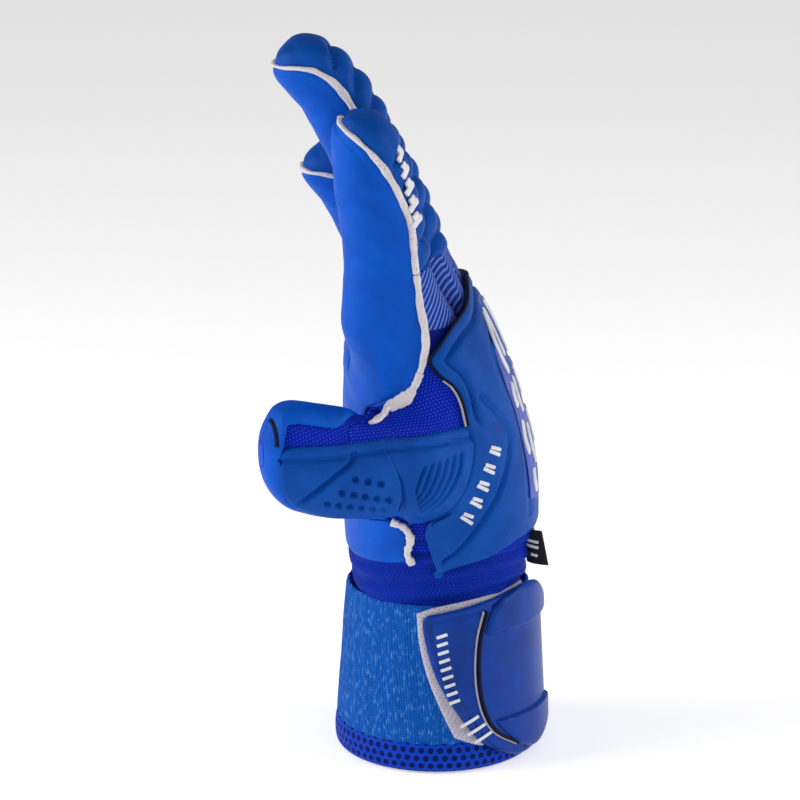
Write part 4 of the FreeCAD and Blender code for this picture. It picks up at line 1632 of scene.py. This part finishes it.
    def tip_pad(self) -> bpy.types.Object:
        """The pad over the thumb's back, from the groove to near the tip."""
        top_s = np.array([self.split + 1.6, 30.0, 44.0, 54.0, 57.4])
        top_u = np.array([130.0, 135.2, 146.0, 154.0, 158.0])
        bottom_s = np.array([self.split - 3.4, 30.0, 44.0, 53.0, 56.0])
        bottom_u = np.array([262.0, 262.0, 258.0, 250.0, 240.0])
        right = np.column_stack([np.radians(top_u), top_s])
        left = np.column_stack([np.radians(bottom_u), bottom_s])
        low = np.array([left[0], (math.radians(225), self.split - 4.6),
                        (math.radians(190), self.split - 3.0),
                        (math.radians(165), self.split - 0.9), right[0]])
        high = np.array([left[-1], (math.radians(215), 57.8), (math.radians(180), 58.4),
                         right[-1]])
        places = spread(ON_THUMB, (low, high, left, right), (46.0, 42.0), (0.5, 0.5))
        return lay("thumb_tip_pad", THUMB.point, places, self.pad_height, BACK_FOAM, 1.8)


@dataclass
class Cuff(Assembly):
    """The cuff: mesh hem, elastic band, stretch sleeve and loop patch."""

    def ring(self, name: str, low: float, high: float, height: HeightFn, look: Finish,
             thick: float, form: Callable[[Array, Array], Array],
             pitch: float = 1.6) -> bpy.types.Object:
        """A closed ring of cloth around the wrist."""
        vs = low + (high - low) * stops(high - low, pitch)
        grid = grid_of(np.linspace(0, TURN, 181), vs)
        return lay(name, form, grid, height, look, thick, True)

    def build(self) -> None:
        """Makes the cuff's pieces."""
        def hem(patch: Patch) -> Array:
            z = patch.z
            return (0.9 * np.sin(np.clip(z / 11.6, 0, 1) * math.pi) ** 0.6
                    + rolled(patch.low, 1.6, 2.6) + rolled(patch.high, 1.0, 1.4))

        self.keep(self.ring("hem_mesh", 0.0, 11.6, hem, SPACER, 3.0, CUFF.point, 0.9),
                  "cuff", nodes=["cuff_hem", "cuff_lining"], fill=0.7,
                  slot="spacer_mesh")

        def band(patch: Patch) -> Array:
            u = patch.places[..., 0]
            return (0.22 * np.sin(u * 37 + patch.z * 0.11) + rolled(patch.high, 0.8, 1.4)
                    - 0.3 * ramp(patch.z, 50, 60))

        self.keep(self.ring("elastic_cuff_band", 10.6, 63.2, band, ELASTIC, 2.4,
                            CUFF.point), "cuff", nodes=["elastic_band"],
                  slot="elastic_web")

        def sleeve(patch: Patch) -> Array:
            u, z = patch.places[..., 0], patch.z
            fold = np.sin(z * 0.85 + 2.2 * np.sin(u * 2.0) + 0.6 * np.sin(u * 5.0))
            mid = ramp(z, 60, 66) * (1 - ramp(z, 84, 92))
            return -1.4 + 0.85 * fold * mid - 1.2 * ramp(z, 80, 92)

        bend = Bend("cuff", "hand", (0.0, 0.0, 62.0), (0.0, 0.0, 79.0))
        obj = self.ring("wrist_sleeve_knit", 56.5, 94.0, sleeve, SLEEVE, 1.2, HAND.point,
                        0.7)
        self.keep(obj, bend=bend, nodes=["wrist_sleeve"], slot="sleeve_knit")

        edge = on_cuff([(6.6, 13.6), (1.4, 25.0), (-3.2, 37.0), (-6.0, 49.0),
                        (-7.0, 60.6)])
        top = [edge[-1]] + on_cuff([(0.0, 63.2), (14.0, 65.6)]) + [(2.6, 67.6)]
        low = [edge[0]] + on_cuff([(16.0, 9.6)]) + [(2.2, 9.0), (2.6, 9.0)]
        side = [(2.6, 9.0), (2.6, 38.0), (2.6, 67.6)]
        places = spread(ON_CUFF, (low, top, edge, side), (58.0, 55.0), (0.9, 0.9))

        def pile(patch: Patch) -> Array:
            side = np.minimum(np.minimum(patch.left, patch.low), patch.high)
            return 1.3 + rolled(side, 0.9, 1.6)

        self.keep(lay("loop_landing_patch", CUFF.point, places, pile, LOOP, 1.2), "cuff",
                  nodes=["landing_patch", "strap_anchor"], slot="loop_pile")


@dataclass
class Strap(Assembly):
    """The closure: tab, raised frame, twill insert, piping and hooks."""

    edge: Rows = ((20.5, 7.6), (14.6, 12.6), (6.2, 25.0), (0.0, 37.0), (-3.4, 49.0),
                  (-4.5, 58.0), (-2.6, 60.6))

    def tab_height(self, patch: Patch) -> Array:
        """Moulded tab: rolled rim and a pressed line along it."""
        side = np.minimum(np.minimum(patch.left, patch.low), patch.high)
        pressed = -0.5 * np.exp(-((side - 3.2) / 0.7) ** 2)
        return 3.6 + rolled(side, 1.3, 2.6) + pressed + 0.3 * ramp(side, 3, 9)

    def frame_height(self, patch: Patch) -> Array:
        """Raised frame around a sunk window."""
        side = np.minimum(np.minimum(patch.left, patch.low), patch.high)
        z = patch.z
        u = patch.places[..., 0]
        near = 1.97 - 0.0035 * (z - 20.0)
        window = (ramp(z, 18.6, 20.4) * (1 - ramp(z, 51.2, 53.2))
                  * ramp(u, near, near + 0.055))
        return 5.4 + rolled(side, 1.9, 3.4) - 2.3 * window

    def build(self) -> None:
        """Makes the strap's pieces."""
        last = 3.06
        edge = on_cuff(self.edge)
        top = [edge[-1]] + on_cuff([(6.0, 62.4), (18.0, 65.0)]) + [(2.45, 66.6),
                                                                   (last, 60.0)]
        low = [edge[0]] + on_cuff([(27.0, 3.6)]) + [(2.6, 2.8), (last, 6.0)]
        side = [(last, 6.0), (last, 37.0), (last, 60.0)]
        places = spread(ON_CUFF, (low, top, edge, side), (76.0, 60.0), (0.7, 0.7))
        self.keep(lay("strap_tab_skin", CUFF.point, places, self.tab_height, MOULDED, 2.2),
                  "strap", nodes=["strap_tab", "hook_patch"], fill=0.9,
                  slot="moulded_strap")
        rim = on_cuff([(27.5, 7.6), (21.4, 16.0), (17.4, 24.0), (15.4, 36.0),
                       (15.6, 50.0), (17.6, 60.0), (21.4, 65.4)])
        top = [rim[-1], (2.48, 68.0), (2.8, 66.0), (last, 60.6)]
        low = [rim[0], (2.66, 4.0), (last, 7.4)]
        side = [(last, 7.4), (last, 37.0), (last, 60.6)]
        places = spread(ON_CUFF, (low, top, rim, side), (58.0, 60.0), (0.5, 0.6))
        self.keep(lay("strap_frame_skin", CUFF.point, places, self.frame_height, MOULDED,
                      1.8), "strap", nodes=["closure_frame"], fill=0.9,
                  slot="moulded_strap")
        grid = grid_of(np.linspace(1.96, 3.05, 52), np.linspace(18.6, 53.4, 50))
        self.keep(lay("strap_window_twill", CUFF.point, grid,
                      lambda p: np.full(p.x.shape, 3.5), TWILL_CLOTH, 0.6), "strap",
                  nodes=["closure_insert"], slot="twill_insert")
        line = on_cuff([(27.6, 8.2), (20.6, 14.8), (16.4, 23.4), (14.3, 36.0),
                        (14.6, 50.4), (16.8, 61.4)])
        rows = [(line, 0.75, PIPING), ([(a - 0.035, z) for a, z in line], 0.3,
                                       PIPING_LIGHT)]
        for k, (points, wide, look) in enumerate(rows):
            pts = even_places(points, 120, ON_CUFF)
            path = CUFF.point(pts[:, 0], pts[:, 1])
            normal = path - np.column_stack([np.zeros(120), np.zeros(120), path[:, 2]])
            normal /= np.linalg.norm(normal, axis=1, keepdims=True)
            name = ("strap_piping", "strap_piping_thread")[k]
            self.keep(strip(name, path + normal * 3.9, normal, np.full(120, wide),
                            0.75 + wide * 0.3, look, 10), "strap",
                      nodes=["tab_piping"] if k == 0 else [], slot="piping_cord")
        marks = []
        for k in range(9):
            t = k / 8.0
            x0 = 1.5 + 4.3 * (1 - t) ** 1.6 + 0.2 * t
            z0 = 28.0 + 25.0 * t
            marks.append(on_cuff([(x0 - 1.5, z0 - 0.4), (x0 + 2.0, z0 + 0.9)]))
        for k in range(3):
            x0, z0 = 10.6 + 2.4 * k, 20.0 - 3.2 * k
            marks.append(on_cuff([(x0 - 2.6, z0 - 1.5), (x0 + 3.4, z0 + 2.0)]))
        self.keep(bars("strap_marks", CUFF.point, marks, 0.62, 3.95, 0.35, PRINT),
                  "strap", slot="raised_print")


FINGERS = (
    Finger("index finger", form=FingerForm(
        "index", ((-10.0, 147.0), (-12.0, 165.0), (-14.3, 180.0), (-17.0, 193.0),
                  (-18.8, 205.0), (-20.7, 218.0), (-22.6, 229.0), (-24.2, 238.0),
                  (-25.2, 245.6)), -40.0, 13.0, (-53.3, -26.7),
        ((0.0, 23.0, 15.5), (0.18, 22.0, 15.2), (0.31, 20.2, 14.6), (0.42, 17.4, 14.2),
         (0.50, 15.4, 14.0), (0.58, 15.0, 13.6), (0.72, 15.2, 12.2), (0.84, 14.0, 10.4),
         (0.92, 13.0, 8.8), (1.0, 12.0, 7.4))),
        knuckle=(-9.5, 160.0), middle=(-17.5, 203.0), seam_rows=INDEX_SEAM,
        first_puff=14.6),
    Finger("middle finger", form=FingerForm(
        "middle", ((-3.0, 147.0), (-5.0, 165.0), (-8.0, 180.0), (-11.7, 194.0),
                   (-15.2, 205.0), (-18.8, 214.0), (-22.6, 223.0), (-27.4, 234.0),
                   (-32.6, 244.0), (-38.9, 253.6), (-51.8, 266.6)), -13.4, 12.9,
        (-26.5, -0.3),
        ((0.0, 24.0, 15.5), (0.2, 22.0, 15.0), (0.35, 16.5, 13.4), (0.46, 14.6, 12.4),
         (0.64, 14.0, 11.4), (0.8, 14.0, 10.8), (0.92, 13.6, 9.0),
         (1.0, 13.0, 7.2))),
        knuckle=(-5.0, 160.0), middle=(-17.0, 206.0)),
    Finger("ring finger", form=FingerForm(
        "ring", ((-5.0, 147.0), (-6.0, 165.0), (-9.0, 180.0), (-16.0, 200.0),
                 (-22.0, 215.0), (-33.0, 238.0), (-42.5, 252.5)), 13.3, 12.7,
        (0.3, 26.3), ((0.0, 22.0, 15.0), (0.2, 20.0, 14.6), (0.35, 15.5, 14.0),
                      (0.6, 13.6, 13.2), (0.85, 12.8, 10.4),
                      (1.0, 12.2, 7.8))),
        knuckle=(-5.5, 160.0), middle=(-16.0, 200.5), split=186.0),
    Finger("little finger", form=FingerForm(
        "little", ((-10.0, 147.0), (-11.0, 152.0), (-14.5, 165.0), (-21.0, 184.0),
                   (-28.0, 198.0), (-35.5, 209.0), (-44.6, 219.0)), 38.7, 12.1,
        (26.7, 50.8), ((0.0, 20.0, 14.0), (0.3, 14.6, 13.2), (0.6, 12.6, 12.4),
                       (1.0, 11.4, 11.2)), cap=11.5),
        knuckle=(-10.0, 150.0), middle=(-21.0, 184.0), split=170.5,
        bend_low=(147.0, 164.0)),
)


def floor_and_light() -> None:
    """A pale floor with a painted glow, a white surround and soft lamps from both sides."""
    world = bpy.data.worlds.new("white surround")
    bpy.context.scene.world = world
    world.use_nodes = True
    back = world.node_tree.nodes["Background"]
    back.inputs[0].default_value = (1.0, 1.0, 1.0, 1.0)
    path = world.node_tree.nodes.new("ShaderNodeLightPath")
    level = world.node_tree.nodes.new("ShaderNodeMapRange")
    level.inputs["To Min"].default_value = 0.24
    level.inputs["To Max"].default_value = 1.0
    world.node_tree.links.new(path.outputs["Is Camera Ray"], level.inputs["Value"])
    world.node_tree.links.new(level.outputs[0], back.inputs[1])
    bpy.ops.object.select_all(action="DESELECT")
    bpy.ops.mesh.primitive_plane_add(size=12.0, location=(0.0, 0.0, -0.0006))
    floor = bpy.context.active_object
    floor.name = "studio_floor"
    mat = bpy.data.materials.new("white floor with painted glow")
    mat.use_nodes = True
    shader = mat.node_tree.nodes["Principled BSDF"]
    shader.inputs["Base Color"].default_value = (0.9, 0.9, 0.9, 1.0)
    shader.inputs["Roughness"].default_value = 0.9
    # Painted light: the floor glows by emission though it is no lamp. This makes it look whiter
    # and lights the glove from below like a bounce.
    shader.inputs["Emission Color"].default_value = (1.0, 1.0, 1.0, 1.0)
    shader.inputs["Emission Strength"].default_value = 0.5
    floor.data.materials.append(mat)
    lamps = [("palm_side_lamp", (-1.1, -0.25, 0.55), 0.9, 12.0),
             ("back_side_lamp", (1.1, -0.15, 0.45), 0.9, 8.0),
             ("front_lamp", (0.3, -1.5, 1.0), 1.2, 4.6)]
    for name, spot, size, power in lamps:
        bpy.ops.object.light_add(type="AREA", location=spot)
        lamp = bpy.context.active_object
        lamp.name = name
        lamp.data.size = size
        lamp.data.energy = power
        aim = np.array([0.0, 0.0, 0.13]) - np.array(spot)
        flat = math.hypot(aim[0], aim[1])
        lamp.rotation_euler = (math.atan2(flat, -aim[2]), 0.0,
                               math.atan2(aim[1], aim[0]) - math.pi / 2)


def camera() -> None:
    """A long lens from the thumb's side, slightly above."""
    turn, up, away = math.radians(0.0), math.radians(14.0), 1.3
    target = (0.0, 0.0, 0.135)
    spot = (target[0] + away * math.cos(up) * math.sin(turn),
            target[1] - away * math.cos(up) * math.cos(turn),
            target[2] + away * math.sin(up))
    bpy.ops.object.camera_add(location=spot, rotation=(math.pi / 2 - up, 0.0, turn))
    cam = bpy.context.active_object
    cam.name = "photo_camera"
    cam.data.lens = 158.0
    cam.data.sensor_width = 36.0
    cam.data.shift_x = -0.045
    cam.data.shift_y = -0.01125
    cam.data.clip_end = 50.0
    cam.data.dof.use_dof = False
    bpy.context.scene.camera = cam
    bpy.context.scene.view_settings.view_transform = "Standard"


def main() -> None:
    """Builds the glove, the light and the camera."""
    for finger in FINGERS:
        finger.build()
    finger_marks(FINGERS[0])
    HandBody("hand").build()
    Thumb("thumb").build()
    Cuff("cuff").build()
    Strap("strap").build()
    floor_and_light()
    camera()


if __name__ == "__main__":
    main()
